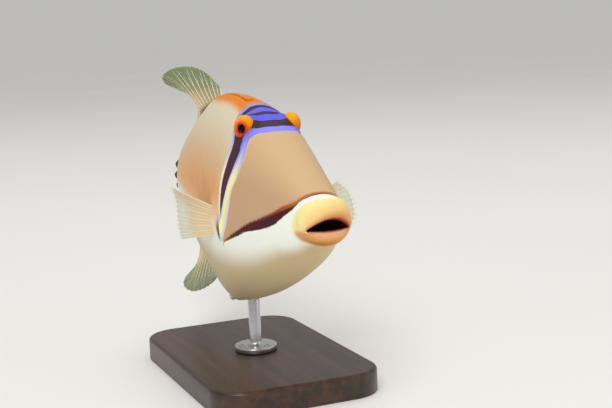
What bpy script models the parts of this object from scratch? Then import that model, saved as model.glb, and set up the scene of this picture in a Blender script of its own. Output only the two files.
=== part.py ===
"""Picassofish (a reef triggerfish), life size, swimming level on a plain display stand.

Metres, +Z up. The snout points along -Y and the fish's left side is +X. The origin is the middle of the
stand's underside. The fish is laid out in fractions of its standard length: "back" from the snout tip,
"left" from the mid plane and "up" from the line of the mouth. place() turns these into metres and adds
the sideways curve of the tail.
"""

import math

import bmesh
import bpy
import numpy as np
from mathutils import Vector

MM = 0.001

# Driving dimensions
STANDARD_LENGTH = 200 * MM  # snout tip to tail root
MOUTH_HEIGHT = 76 * MM  # the line of the mouth above the floor
GAP = 0.3 * MM  # left between pieces that touch
ROD_BACK = 0.43  # the stand's rod, as a fraction of the length behind the snout

# The tail swings to the fish's left from here on
BEND_START = 0.72
BEND_RATE = 0.45
BEND_GAIN = 0.55

# Where the nodes of the body part from each other
LIP_ROOT = 0.055
GILL_CUT = 0.346
STALK_CUT = 0.862
TAIL_ROOT = 1.0

# Body outline: (back, value), all fractions of the standard length
BACK_LINE = ((0.0, 0.036), (0.055, 0.045), (0.12, 0.081), (0.20, 0.124), (0.28, 0.165), (0.34, 0.190),
             (0.41, 0.205), (0.50, 0.210), (0.57, 0.202), (0.64, 0.176), (0.74, 0.127), (0.84, 0.078),
             (0.90, 0.060), (0.95, 0.055), (1.02, 0.058))
BELLY_LINE = ((0.0, -0.042), (0.055, -0.056), (0.12, -0.097), (0.20, -0.138), (0.30, -0.181), (0.40, -0.213),
              (0.48, -0.232), (0.54, -0.242), (0.57, -0.237), (0.62, -0.210), (0.70, -0.158), (0.80, -0.098),
              (0.88, -0.062), (0.94, -0.053), (1.02, -0.056))
HALF_WIDTH = ((0.0, 0.046), (0.055, 0.050), (0.12, 0.065), (0.20, 0.081), (0.28, 0.093), (0.36, 0.099),
              (0.46, 0.097), (0.56, 0.088), (0.66, 0.072), (0.76, 0.053), (0.86, 0.034), (0.93, 0.023),
              (1.02, 0.011))
WIDEST_AT = ((0.0, -0.002), (0.055, -0.004), (0.15, -0.022), (0.30, -0.040), (0.45, -0.030), (0.60, -0.008),
             (0.80, 0.0), (1.02, 0.0))
# Superellipse powers of the section: 2 is an ellipse, more is squarer and less is keeled
ROUND_ABOVE = ((0.0, 2.1), (0.055, 2.15), (0.15, 2.35), (0.29, 2.5), (0.40, 2.1), (0.60, 1.75), (0.80, 1.9),
               (1.02, 2.0))
ROUND_BELOW = ((0.0, 2.1), (0.055, 2.1), (0.20, 2.1), (0.40, 1.85), (0.55, 1.4), (0.70, 1.65), (1.02, 2.0))

SECTION_SIDES = 40
HEAD_ROWS = 18
TORSO_ROWS = 24
STALK_ROWS = 6

# Mouth and lips: the lower lip's edge is nearly straight and the upper one arched
MOUTH_LINE = -0.0105
MOUTH_HALF_WIDTH = 0.0455
MOUTH_UPPER = 0.0165
MOUTH_LOWER = 0.0042
MOUTH_CORNER_BACK = 0.027
LIP_OVERHANG = 0.004  # the upper lip reaches this much further forward than the lower
CAVITY_DEPTH = 0.046

# Eyes: balls half sunk in the head; the right one looks forward, the left one to its own side
EYE_BACK = 0.300
EYE_OUT = 0.0450
EYE_UP = 0.1545
EYE_RADIUS = 0.0235
PUPIL_ANGLE = math.radians(24)
GAZE_FORWARD = {"left": math.radians(8), "right": math.radians(45)}
GAZE_DOWN = math.radians(13)

# Two nostril pits on each side, and the gill slit
NOSTRILS = ((0.262, 0.132), (0.270, 0.121))
NOSTRIL_RADIUS = 0.0034
GILL_SLIT_BACK = 0.336
GILL_SLIT_UP = -0.044
GILL_SLIT_SIZE = (0.0035, 0.009, 0.028)

# Three rows of short, hooked spines on each side of the tail stalk
STALK_SPINE_ROWS = ((0.870, 0.027, 8), (0.860, 0.003, 9), (0.872, -0.021, 8))
STALK_SPINE_PITCH = 0.0125
STALK_SPINE_HEIGHT = 1.1 * MM
STALK_SPINE_RADIUS = 0.65 * MM

# Fin rays and webs: half thicknesses at the root and near the tip
RAY_HALF = (0.65 * MM, 0.45 * MM)
WEB_HALF = (0.27 * MM, 0.25 * MM)
WEB_SHARE = 0.955  # the web ends this far along its rays
ROOT_SUNK = 0.014

# Soft dorsal and anal fins: the stretch of keel they stand on, and how far (back, left, up or down) the middles
# and the tips of their rays lie from their roots. Both fold over to the right in front and sweep left behind.
SOFT_DORSAL = dict(start=0.568, end=0.858, rays=24, middle_at=0.40, middles=(
    (0.0, (0.010, 0.003, 0.015)), (0.05, (0.018, 0.002, 0.023)), (0.12, (0.026, -0.003, 0.028)),
    (0.20, (0.032, -0.010, 0.034)), (0.27, (0.036, -0.017, 0.039)), (0.34, (0.038, -0.021, 0.044)),
    (0.41, (0.038, -0.017, 0.048)), (0.48, (0.035, -0.007, 0.050)), (0.55, (0.031, 0.004, 0.048)),
    (0.65, (0.028, 0.012, 0.042)), (0.80, (0.025, 0.014, 0.032)), (1.0, (0.020, 0.010, 0.021))), tips=(
    (0.0, (0.024, 0.005, 0.015)), (0.05, (0.046, 0.004, 0.037)), (0.12, (0.066, -0.002, 0.062)),
    (0.20, (0.078, -0.015, 0.083)), (0.27, (0.086, -0.035, 0.094)), (0.34, (0.090, -0.057, 0.098)),
    (0.41, (0.092, -0.072, 0.093)), (0.48, (0.089, -0.064, 0.084)), (0.55, (0.083, -0.030, 0.078)),
    (0.65, (0.073, 0.018, 0.068)), (0.80, (0.064, 0.040, 0.052)), (1.0, (0.050, 0.034, 0.031))))
ANAL = dict(start=0.648, end=0.856, rays=21, middle_at=0.55, middles=(
    (0.0, (0.015, 0.002, 0.017)), (0.06, (0.024, 0.001, 0.030)), (0.15, (0.029, -0.005, 0.047)),
    (0.26, (0.031, -0.013, 0.062)), (0.36, (0.031, -0.018, 0.074)), (0.45, (0.031, -0.016, 0.084)),
    (0.54, (0.030, -0.007, 0.087)), (0.63, (0.029, 0.002, 0.079)), (0.80, (0.028, 0.016, 0.052)),
    (1.0, (0.024, 0.012, 0.026))), tips=(
    (0.0, (0.030, 0.006, 0.022)), (0.06, (0.044, 0.007, 0.047)), (0.15, (0.052, -0.001, 0.077)),
    (0.26, (0.056, -0.017, 0.107)), (0.36, (0.058, -0.034, 0.124)), (0.45, (0.058, -0.045, 0.126)),
    (0.54, (0.056, -0.039, 0.122)), (0.63, (0.055, -0.008, 0.110)), (0.80, (0.053, 0.030, 0.076)),
    (1.0, (0.044, 0.026, 0.034))))

# Tail fin
TAIL_RAYS = 12
TAIL_LENGTH = ((0.0, 0.178), (0.5, 0.190), (1.0, 0.178))
TAIL_HALF_BASE = 0.047
TAIL_SPREAD = math.radians(15)

# Pectoral fins: how far (back, out, up) the tips of the rays lie from their roots, from the top ray down.
# The left one is held straight out, the right one halfway through its stroke.
PECTORAL_RAYS = 13
PECTORAL_BASE = (0.3555, -0.036)
PECTORAL_BASE_HALF = 0.023
PECTORAL_TIPS = {
    "left": ((0.0, (0.056, 0.100, 0.030)), (0.25, (0.042, 0.118, 0.021)), (0.5, (0.024, 0.124, 0.004)),
             (0.75, (0.010, 0.118, -0.015)), (1.0, (0.006, 0.098, -0.030))),
    "right": ((0.0, (0.092, 0.066, 0.046)), (0.25, (0.103, 0.055, 0.026)), (0.5, (0.105, 0.052, 0.005)),
              (0.75, (0.101, 0.051, -0.011)), (1.0, (0.090, 0.048, -0.020))),
}

# Folded first dorsal fin: a low bar in a groove along the back, crested by its one stout and two thin spines
FOLD_START = 0.388
FOLD_END = 0.556
FOLD_HALF = 1.5 * MM
FOLD_DEPTH = 1.8 * MM
FOLD_RISE = 0.6 * MM

# Pelvic spine: a blunt knob at the tip of the belly keel, with two rings of low barbs
PELVIC_BACK = 0.547
PELVIC_LENGTH = 5.0 * MM
PELVIC_RADIUS = 1.6 * MM
PELVIC_SUNK = 2.6 * MM
BARB_RINGS = ((0.62, 0.0), (0.86, 0.5))
BARBS = 6
BARB_HEIGHT = 0.45 * MM
BARB_RADIUS = 0.42 * MM

# Stand
BASE_LENGTH = 110 * MM
BASE_WIDTH = 70 * MM
BASE_THICK = 10 * MM
BASE_CORNER = 14 * MM
BASE_EDGE = 1.5 * MM
ROD_RADIUS = 2.5 * MM
FLANGE_RADIUS = 9 * MM
FLANGE_THICK = 2.2 * MM


def along(points, x):
    """Smooth curve through (x, value) points: cubic pieces with Catmull-Rom slopes, held flat past the ends."""
    xs = [p[0] for p in points]
    ys = [p[1] for p in points]
    x = min(max(x, xs[0]), xs[-1])
    i = min(max(int(np.searchsorted(xs, x)) - 1, 0), len(xs) - 2)
    slopes = np.gradient(ys, xs)
    width = xs[i + 1] - xs[i]
    t = (x - xs[i]) / width
    return ((2 * t**3 - 3 * t**2 + 1) * ys[i] + (t**3 - 2 * t**2 + t) * width * slopes[i]
            + (-2 * t**3 + 3 * t**2) * ys[i + 1] + (t**3 - t**2) * width * slopes[i + 1])


def bend(back):
    """Sideways shift of the mid plane, to the fish's left."""
    past = max(0.0, back - BEND_START)
    return BEND_RATE * past**2 + BEND_GAIN * past**3


def place(back, left, up):
    """A point in metres from fish fractions."""
    return Vector(((left + bend(back)) * STANDARD_LENGTH, (back - ROD_BACK) * STANDARD_LENGTH,
                   MOUTH_HEIGHT + up * STANDARD_LENGTH))


def power(value, exponent):
    return math.copysign(abs(value) ** exponent, value)


def section_point(back, angle, grow=0.0):
    """Point of the section, grow metres outside it; angle 0 is the left flank and 90 degrees the back."""
    extra = grow / STANDARD_LENGTH
    middle = along(WIDEST_AT, back)
    above = math.sin(angle) >= 0
    rim = along(BACK_LINE, back) + extra if above else along(BELLY_LINE, back) - extra
    shape = 2 / along(ROUND_ABOVE if above else ROUND_BELOW, back)
    left = (along(HALF_WIDTH, back) + extra) * power(math.cos(angle), shape)
    up = middle + (rim - middle) * abs(math.sin(angle)) ** shape
    return back, left, up


def flank(back, up):
    """Half width of the body at that height."""
    middle = along(WIDEST_AT, back)
    rim, shape = ((along(BACK_LINE, back), along(ROUND_ABOVE, back)) if up >= middle
                  else (along(BELLY_LINE, back), along(ROUND_BELOW, back)))
    share = min(1.0, abs((up - middle) / (rim - middle)))
    return along(HALF_WIDTH, back) * (1 - share**shape) ** (1 / shape)


def material(name, color, roughness=0.5, metallic=0.0):
    made = bpy.data.materials.new(name)
    made.use_nodes = True
    shader = made.node_tree.nodes["Principled BSDF"]
    shader.inputs["Base Color"].default_value = (*color, 1.0)
    shader.inputs["Roughness"].default_value = roughness
    shader.inputs["Metallic"].default_value = metallic
    return made


def make_object(name, points, faces, finish=None, smooth=True, helper=False):
    mesh = bpy.data.meshes.new(name)
    mesh.from_pydata([tuple(p) for p in points], [], faces)
    shell = bmesh.new()
    shell.from_mesh(mesh)
    bmesh.ops.triangulate(shell, faces=[f for f in shell.faces if len(f.verts) > 4])
    bmesh.ops.recalc_face_normals(shell, faces=shell.faces)
    if shell.calc_volume(signed=True) < 0:
        bmesh.ops.reverse_faces(shell, faces=shell.faces)
    shell.to_mesh(mesh)
    shell.free()
    obj = bpy.data.objects.new(name, mesh)
    bpy.context.scene.collection.objects.link(obj)
    if finish:
        mesh.materials.append(finish)
    if smooth:
        mesh.shade_smooth()
        mesh.set_sharp_from_angle(angle=math.radians(32))
    obj.hide_render = helper
    if helper:
        obj.display_type = "WIRE"
    return obj


def skin_rings(rings):
    """Points and faces of a closed tube through rings of equal length, with an end cap on each end."""
    count = len(rings[0])
    points = [p for ring in rings for p in ring]
    faces = []
    for row in range(len(rings) - 1):
        for side in range(count):
            a = row * count + side
            b = row * count + (side + 1) % count
            faces.append((a, b, b + count, a + count))
    faces.append(tuple(reversed(range(count))))
    faces.append(tuple(range((len(rings) - 1) * count, len(rings) * count)))
    return points, faces


def body_ring(back, grow=0.0):
    turns = [2 * math.pi * (i + 0.5) / SECTION_SIDES for i in range(SECTION_SIDES)]
    return [place(*section_point(back, a, grow)) for a in turns]


def body_length(name, start, end, rows, finish):
    """One length of the body between two planes, each kept half a gap from its neighbour."""
    inset = GAP / 2 / STANDARD_LENGTH
    backs = np.linspace(start + inset, end - inset, rows)
    return make_object(name, *skin_rings([body_ring(b) for b in backs]), finish)


def apply_modifiers(obj):
    graph = bpy.context.evaluated_depsgraph_get()
    mesh = bpy.data.meshes.new_from_object(obj.evaluated_get(graph))
    obj.modifiers.clear()
    obj.data = mesh


def keep_largest(obj):
    """Drops every loose scrap, so that the node is its largest closed surface."""
    shell = bmesh.new()
    shell.from_mesh(obj.data)
    bmesh.ops.remove_doubles(shell, verts=shell.verts, dist=0.0005 * MM)
    left = set(shell.faces)
    shells = []
    while left:
        found = {left.pop()}
        edge_of = list(found)
        while edge_of:
            face = edge_of.pop()
            near = {f for e in face.edges for f in e.link_faces} & left
            left -= near
            found |= near
            edge_of += near
        shells.append(found)
    shells.sort(key=lambda faces: sum(f.calc_area() for f in faces))
    scraps = [f for faces in shells[:-1] for f in faces]
    bmesh.ops.delete(shell, geom=scraps, context="FACES")
    shell.to_mesh(obj.data)
    shell.free()


def cut(obj, *cutters):
    for cutter in cutters:
        modifier = obj.modifiers.new("cut", "BOOLEAN")
        modifier.operation = "DIFFERENCE"
        modifier.solver = "EXACT"
        modifier.object = cutter
    apply_modifiers(obj)
    keep_largest(obj)


def join(obj, pieces):
    """One union of obj with a collection of closed pieces, which are then removed."""
    group = bpy.data.collections.new(obj.name + "_pieces")
    bpy.context.scene.collection.children.link(group)
    for piece in pieces:
        bpy.context.scene.collection.objects.unlink(piece)
        group.objects.link(piece)
    modifier = obj.modifiers.new("join", "BOOLEAN")
    modifier.operation = "UNION"
    modifier.solver = "EXACT"
    modifier.operand_type = "COLLECTION"
    modifier.collection = group
    apply_modifiers(obj)
    for piece in pieces:
        bpy.data.objects.remove(piece)
    bpy.data.collections.remove(group)
    keep_largest(obj)


def turned(profile, sides, centre, axis):
    """Rings of a solid turned about axis through centre: profile is (distance along the axis, radius)."""
    aim = axis.normalized()
    across = aim.orthogonal().normalized()
    other = aim.cross(across)
    turns = [2 * math.pi * i / sides for i in range(sides)]
    return [[centre + aim * far + (across * math.cos(a) + other * math.sin(a)) * radius for a in turns]
            for far, radius in profile]


def ellipsoid(name, centre, radii, sides=12, rows=7):
    """Helper ball with its own half axes along the frame's axes."""
    rings = []
    for row in range(1, rows):
        tilt = math.pi * row / rows
        across, ahead, up = radii[0] * math.sin(tilt), radii[1] * math.sin(tilt), -radii[2] * math.cos(tilt)
        turns = [2 * math.pi * i / sides for i in range(sides)]
        rings.append([centre + Vector((across * math.cos(a), ahead * math.sin(a), up)) for a in turns])
    return make_object(name, *skin_rings(rings), helper=True)


def lip_point(angle, share, back):
    """Point between the mouth opening (share 0) and the head's section at the lip root (share 1)."""
    _, outer_left, outer_up = section_point(LIP_ROOT, angle)
    height = MOUTH_UPPER if math.sin(angle) >= 0 else MOUTH_LOWER
    inner_left = MOUTH_HALF_WIDTH * math.cos(angle)
    inner_up = MOUTH_LINE + height * power(math.sin(angle), 1.35)
    left = inner_left + (outer_left - inner_left) * share
    up = inner_up + (outer_up - inner_up) * share
    front = 1 - max(0.0, min(1.0, back / LIP_ROOT))
    corner = MOUTH_CORNER_BACK * abs(math.cos(angle)) ** 2.4 * front
    under = LIP_OVERHANG * max(0.0, -math.sin(angle)) * front
    return place(back + corner + under, left, up)


def lips(finish):
    """Thick lips round the open mouth, with the mouth's hollow as a blind hole."""
    inset = GAP / 2 / STANDARD_LENGTH
    outside = ((LIP_ROOT - inset, 1.0), (0.043, 1.0), (0.030, 0.99), (0.017, 0.94), (0.007, 0.82),
               (0.001, 0.63), (0.0, 0.44), (0.004, 0.24), (0.010, 0.09), (0.017, 0.0))
    inside = ((0.027, 0.95), (0.037, 0.72), (CAVITY_DEPTH, 0.35))
    turns = [2 * math.pi * (i + 0.5) / SECTION_SIDES for i in range(SECTION_SIDES)]
    rings = [[lip_point(a, share, back) for a in turns] for back, share in outside]
    for back, size in inside:
        rings.append([place(back + MOUTH_CORNER_BACK * 0.25 * math.cos(a) ** 2,
                            0.8 * MOUTH_HALF_WIDTH * size * math.cos(a),
                            MOUTH_LINE + 0.005 + 0.012 * size * math.sin(a)) for a in turns])
    return make_object("lips", *skin_rings(rings), finish)


def eye_centre(side):
    return place(EYE_BACK, side * EYE_OUT, EYE_UP)


def eye(name, side, finish):
    """Eyeball turned about its gaze, with a shallow ring round the pupil and a low cornea."""
    radius = EYE_RADIUS * STANDARD_LENGTH
    forward = GAZE_FORWARD[name]
    gaze = Vector((side * math.cos(forward), -math.sin(forward), -math.sin(GAZE_DOWN)))
    tilts = [math.radians(t) for t in (172, 155, 138, 121, 104, 87, 70, 54, 40)]
    profile = [(radius * math.cos(t), radius * math.sin(t)) for t in tilts]
    for tilt, scale in ((PUPIL_ANGLE * 1.22, 1.0), (PUPIL_ANGLE * 1.05, 0.965), (PUPIL_ANGLE * 0.9, 0.985),
                        (PUPIL_ANGLE * 0.45, 1.03), (math.radians(3), 1.04)):
        profile.append((radius * scale * math.cos(tilt), radius * scale * math.sin(tilt)))
    return make_object("eye_" + name, *skin_rings(turned(profile, 20, eye_centre(side), gaze)), finish)


def head(finish):
    """Head from the lip root to behind the gill slits, with the eye sockets, nostrils and gill slits cut in."""
    made = body_length("head", LIP_ROOT, GILL_CUT, HEAD_ROWS, finish)
    cutters = []
    socket = EYE_RADIUS * STANDARD_LENGTH + GAP
    for side in (1, -1):
        rings = turned([(socket * math.cos(t), socket * math.sin(t))
                        for t in np.linspace(math.radians(173), math.radians(7), 13)], 20, eye_centre(side),
                       Vector((side, 0, 0)))
        cutters.append(make_object("socket", *skin_rings(rings), helper=True))
        pit = NOSTRIL_RADIUS * STANDARD_LENGTH
        for back, up in NOSTRILS:
            on_skin = place(back, side * flank(back, up), up)
            cutters.append(ellipsoid("nostril", on_skin, (pit * 1.6, pit, pit), 8, 5))
        slit = [s * STANDARD_LENGTH for s in GILL_SLIT_SIZE]
        centre = place(GILL_SLIT_BACK, side * flank(GILL_SLIT_BACK, GILL_SLIT_UP), GILL_SLIT_UP)
        cutters.append(ellipsoid("gill_slit", centre, (slit[1], slit[0], slit[2]), 10, 9))
    cut(made, *cutters)
    for cutter in cutters:
        bpy.data.objects.remove(cutter)
    return made


def hooked_spine(root, out, lean, height, radius):
    """Four-sided spine that stands out from the skin and hooks over towards lean, its root sunk in."""
    towards = (lean - out * lean.dot(out)).normalized()
    across = out.cross(towards)
    rings = []
    for share, width, hook in ((-0.65, 1.15, 0.0), (0.45, 0.62, 0.22), (1.0, 0.18, 0.75)):
        centre = root + out * height * share + towards * height * hook
        rings.append([centre + (towards * math.cos(a) * 1.3 + across * math.sin(a) * 0.8) * radius * width
                      for a in (math.pi / 2 * i for i in range(4))])
    return make_object("spine", *skin_rings(rings))


def tail_stalk(finish):
    made = body_length("tail_stalk", STALK_CUT, TAIL_ROOT, STALK_ROWS, finish)
    spines = []
    for side in (1, -1):
        for start, up, count in STALK_SPINE_ROWS:
            for i in range(count):
                back = start + 0.006 + i * STALK_SPINE_PITCH
                here = place(back, side * flank(back, up), up)
                ahead = place(back - 0.01, side * flank(back - 0.01, up), up)
                over = place(back, side * flank(back, up + 0.01), up + 0.01)
                out = (ahead - here).cross(over - here).normalized()
                if out.x * side < 0:
                    out.negate()
                spines.append(hooked_spine(here, out, ahead - here, STALK_SPINE_HEIGHT, STALK_SPINE_RADIUS))
    join(made, spines)
    return made


def fin_sheet(name, rays, rows, point, finish):
    """Closed fin: point(s, t) is its middle surface, s along the base and t along the ray.

    Every even column is the crest of a ray and every odd one the thinner web between two rays, whose edge
    is set back a little. Both faces are split along the same diagonals.
    """
    columns = 2 * rays - 1
    spread = np.linspace(0, 1, columns)
    steps = np.linspace(0, 1, rows) ** 0.9
    tiny = 1e-3
    front, back_face = [], []
    for column, s in enumerate(spread):
        on_ray = column % 2 == 0
        reach = 1.0 if on_ray else WEB_SHARE
        root_half, tip_half = RAY_HALF if on_ray else WEB_HALF
        for t in steps * reach:
            middle = point(s, t)
            low, high = max(0.0, s - tiny), min(1.0, s + tiny)
            across = point(high, t) - point(low, t)
            outward = point(s, t + tiny) - point(s, t - tiny)
            normal = across.cross(outward).normalized()
            half = root_half + (tip_half - root_half) * t
            if t > 0.97 * reach:
                half *= 0.55
            front.append(middle + normal * half)
            back_face.append(middle - normal * half)
    total = columns * rows
    triangles = []
    for column in range(columns - 1):
        for row in range(rows - 1):
            a, b = column * rows + row, (column + 1) * rows + row
            for tri in ((a, b, b + 1), (a, b + 1, a + 1)):
                triangles.append(tri)
                triangles.append(tuple(total + v for v in reversed(tri)))
    rim = [c * rows for c in range(columns)]
    rim += [(columns - 1) * rows + r for r in range(1, rows)]
    rim += [c * rows + rows - 1 for c in reversed(range(columns - 1))]
    rim += [r for r in reversed(range(1, rows - 1))]
    for here, after in zip(rim, rim[1:] + rim[:1]):
        triangles.append((after, here, total + here))
        triangles.append((after, total + here, total + after))
    return make_object(name, front + back_face, triangles, finish)


def reach(tips, s):
    """Smooth curve through the tips' three offsets."""
    return [along([(at, offset[i]) for at, offset in tips], s) for i in range(3)]


def ray_offset(fin, s, t):
    """How far (back, left, up or down) a ray has come from its root, on its way past its middle to its tip."""
    half = fin["middle_at"]
    offsets = []
    for middle, tip in zip(reach(fin["middles"], s), reach(fin["tips"], s)):
        leaving = (middle - half**2 * tip) / (half - half**2)
        offsets.append(leaving * t + (tip - leaving) * t**2)
    return offsets


def median_fin(name, fin, edge_line, upward, finish):
    """Soft dorsal (upward 1) or anal fin (upward -1)."""

    def point(s, t):
        root = fin["start"] + (fin["end"] - fin["start"]) * s
        back, left, up = ray_offset(fin, s, t)
        sunk = ROOT_SUNK * (1 - t)
        return place(root + back, left, along(edge_line, root) + upward * (up - sunk))

    return fin_sheet(name, fin["rays"], 8, point, finish)


def tail_fin(finish):
    """Fan of the tail, its rays spread evenly from the end of the stalk."""

    def point(s, t):
        turn = TAIL_SPREAD * (2 * s - 1)
        length = along(TAIL_LENGTH, s) + ROOT_SUNK
        back = TAIL_ROOT - ROOT_SUNK + length * t * math.cos(turn * 0.6)
        up = TAIL_HALF_BASE * (2 * s - 1) + length * t * math.sin(turn)
        return place(back, 0.0, up)

    return fin_sheet("tail_fin", TAIL_RAYS, 7, point, finish)


def pectoral_fin(name, side, finish):
    """Rounded fan held out from the flank just behind the gill slit."""

    def point(s, t):
        back, out, up = reach(PECTORAL_TIPS[name], s)
        root_back = PECTORAL_BASE[0] + 0.008 * (s - 0.5)
        root_up = PECTORAL_BASE[1] + PECTORAL_BASE_HALF * (1 - 2 * s)
        bow = 0.010 * t * (1 - t)
        sunk = ROOT_SUNK * (1 - t)
        return place(root_back + back * t - bow, side * (flank(root_back, root_up) + out * t + bow - sunk),
                     root_up + up * t)

    return fin_sheet("pectoral_fin_" + name, PECTORAL_RAYS, 7, point, finish)


def fold_bar(name, grow=0.0, finish=None, helper=False):
    """Bar of the folded fin, its top drawn as three spines side by side; grow, in metres, gives its groove."""
    extra = grow / STANDARD_LENGTH
    rings = []
    for share in np.linspace(0, 1, 10):
        back = FOLD_START - extra + (FOLD_END - FOLD_START + 2 * extra) * share
        taper = math.sqrt(max(0.0, 1 - (2 * max(0.5, 1.04 - share) - 1) ** 2)) if share < 0.25 else 1.0
        half = FOLD_HALF / STANDARD_LENGTH * max(0.35, taper) * (1 - 0.62 * share) + extra
        crest = FOLD_RISE / STANDARD_LENGTH * (1 - 0.8 * share) * max(0.3, taper)
        floor = -FOLD_DEPTH / STANDARD_LENGTH * (1 - 0.45 * share) - extra
        side_crest = crest * max(0.0, 1 - 1.6 * abs(share - 0.45))
        profile = [(-1, floor), (-1, 0.1 * crest), (-0.62, side_crest), (-0.36, 0.25 * crest), (0, crest),
                   (0.36, 0.25 * crest), (0.62, side_crest), (1, 0.1 * crest), (1, floor)]
        if grow:
            profile = [(-1, floor), (-1, 0.012), (1, 0.012), (1, floor)]
        rings.append([place(back, half * x, along(BACK_LINE, back) + z) for x, z in profile])
    return make_object(name, *skin_rings(rings), finish, helper=helper)


def pelvic_spine(finish):
    """Blunt, rough knob that points down and back from the tip of the belly keel."""
    aim = Vector((0, 0.62, -0.78)).normalized()
    root = place(PELVIC_BACK, 0.0, along(BELLY_LINE, PELVIC_BACK)) - aim * PELVIC_SUNK
    profile = [(PELVIC_LENGTH * far, PELVIC_RADIUS * wide)
               for far, wide in ((0.0, 0.85), (0.35, 1.0), (0.65, 0.97), (0.88, 0.76), (1.0, 0.34))]
    made = make_object("pelvic_spine", *skin_rings(turned(profile, 12, root, aim)), finish)
    across = aim.orthogonal().normalized()
    barbs = []
    for far, phase in BARB_RINGS:
        for i in range(BARBS):
            turn = 2 * math.pi * (i + phase) / BARBS
            out = across * math.cos(turn) + aim.cross(across) * math.sin(turn)
            wide = float(np.interp(PELVIC_LENGTH * far, *zip(*profile)))
            foot = root + aim * PELVIC_LENGTH * far + out * wide
            barbs.append(hooked_spine(foot, out, aim, BARB_HEIGHT, BARB_RADIUS))
    join(made, barbs)
    return made


def stand_base(finish):
    """Flat plate with round corners and a small bevel on its top edge."""
    outline = []
    for quarter in range(4):
        sx, sy = ((1, 1), (-1, 1), (-1, -1), (1, -1))[quarter]
        centre = ((BASE_WIDTH / 2 - BASE_CORNER) * sx, (BASE_LENGTH / 2 - BASE_CORNER) * sy)
        for i in range(9):
            turn = math.pi / 2 * (quarter + i / 8)
            outline.append((centre[0], centre[1], math.cos(turn), math.sin(turn)))
    levels = ((0.0, 0.6 * MM), (0.6 * MM, 0.0), (BASE_THICK - BASE_EDGE, 0.0),
              (BASE_THICK - BASE_EDGE * 0.3, BASE_EDGE * 0.3), (BASE_THICK, BASE_EDGE))
    rings = []
    for z, inset in levels:
        reach_out = BASE_CORNER - inset
        rings.append([Vector((x + c * reach_out, y + s * reach_out, z)) for x, y, c, s in outline])
    return make_object("stand_base", *skin_rings(rings), finish)


def stand_rod(finish):
    """Turned rod with a flange on the base; its top is shaped by the belly that rests on it."""
    foot = BASE_THICK + GAP
    top = MOUTH_HEIGHT + (along(BELLY_LINE, ROD_BACK) + 0.03) * STANDARD_LENGTH
    profile = [(foot, FLANGE_RADIUS), (foot + FLANGE_THICK * 0.6, FLANGE_RADIUS),
               (foot + FLANGE_THICK, FLANGE_RADIUS * 0.92), (foot + FLANGE_THICK * 1.1, ROD_RADIUS * 1.35),
               (foot + FLANGE_THICK * 1.8, ROD_RADIUS), (top, ROD_RADIUS)]
    rings = turned(profile, 24, Vector((0, 0, 0)), Vector((0, 0, 1)))
    return make_object("stand_rod", *skin_rings(rings), finish)


def main():
    for obj in list(bpy.data.objects):
        bpy.data.objects.remove(obj)

    tan = material("tan_skin", (0.62, 0.47, 0.30), 0.45)
    cream = material("cream_skin", (0.80, 0.72, 0.56), 0.45)
    yellow = material("yellow_lip", (0.90, 0.66, 0.26), 0.4)
    orange = material("orange_eye", (0.92, 0.33, 0.02), 0.25)
    web = material("fin_web", (0.62, 0.63, 0.45), 0.35)
    maroon = material("folded_fin", (0.30, 0.09, 0.05), 0.5)
    bone = material("rough_bone", (0.85, 0.82, 0.74), 0.6)
    wood = material("dark_wood", (0.09, 0.05, 0.03), 0.4)
    steel = material("steel_rod", (0.60, 0.60, 0.60), 0.3, 1.0)

    head(tan)
    torso = body_length("torso", GILL_CUT, STALK_CUT, TORSO_ROWS, cream)
    groove = fold_bar("groove", grow=GAP, helper=True)
    cut(torso, groove)
    bpy.data.objects.remove(groove)
    fold_bar("dorsal_fin_spiny", finish=maroon)
    tail_stalk(cream)
    lips(yellow)
    eye("left", 1, orange)
    eye("right", -1, orange)

    # The body swollen by the gap trims every piece that grows from it, so each root follows the skin.
    backs = list(np.linspace(LIP_ROOT, GILL_CUT, HEAD_ROWS))
    backs += list(np.linspace(GILL_CUT, STALK_CUT, TORSO_ROWS))[1:]
    backs += list(np.linspace(STALK_CUT, TAIL_ROOT + GAP / STANDARD_LENGTH, STALK_ROWS))[1:]
    trim = make_object("trim", *skin_rings([body_ring(b, GAP) for b in backs]), helper=True)
    for piece in (
        median_fin("dorsal_fin_soft", SOFT_DORSAL, BACK_LINE, 1, web),
        median_fin("anal_fin", ANAL, BELLY_LINE, -1, web),
        tail_fin(web),
        pectoral_fin("left", 1, web),
        pectoral_fin("right", -1, web),
        pelvic_spine(bone),
        stand_rod(steel),
    ):
        cut(piece, trim)
    bpy.data.objects.remove(trim)
    stand_base(wood)


main()
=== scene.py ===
"""Looks of the picassofish: one skin with its markings, rayed fins, eyes, spines and a display stand.

Metres, +Z up. The fish is laid out as in the CAD source, in fractions of its standard length: "back" from the
snout tip, "left" from the mid plane and "up" from the line of the mouth. On the skin a place is named by
"run", the way from the mouth towards the tail, and "girth", 0 on the back and 1 under the belly.
"""

import math

import bmesh
import bpy
import numpy as np
from mathutils import Matrix, Vector


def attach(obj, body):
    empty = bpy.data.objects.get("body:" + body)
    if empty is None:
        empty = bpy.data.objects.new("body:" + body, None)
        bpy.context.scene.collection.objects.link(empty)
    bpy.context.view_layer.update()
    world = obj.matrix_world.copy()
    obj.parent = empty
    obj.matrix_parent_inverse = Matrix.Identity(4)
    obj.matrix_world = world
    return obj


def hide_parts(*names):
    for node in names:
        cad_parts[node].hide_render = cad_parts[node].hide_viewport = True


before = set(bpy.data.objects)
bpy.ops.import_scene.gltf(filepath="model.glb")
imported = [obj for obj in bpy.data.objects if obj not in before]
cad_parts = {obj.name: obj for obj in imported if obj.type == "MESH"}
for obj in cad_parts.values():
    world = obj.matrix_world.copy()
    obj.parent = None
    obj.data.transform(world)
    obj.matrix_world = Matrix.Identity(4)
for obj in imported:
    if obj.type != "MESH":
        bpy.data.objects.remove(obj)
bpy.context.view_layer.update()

MM = 0.001

# Sizes repeated from the CAD source

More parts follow.
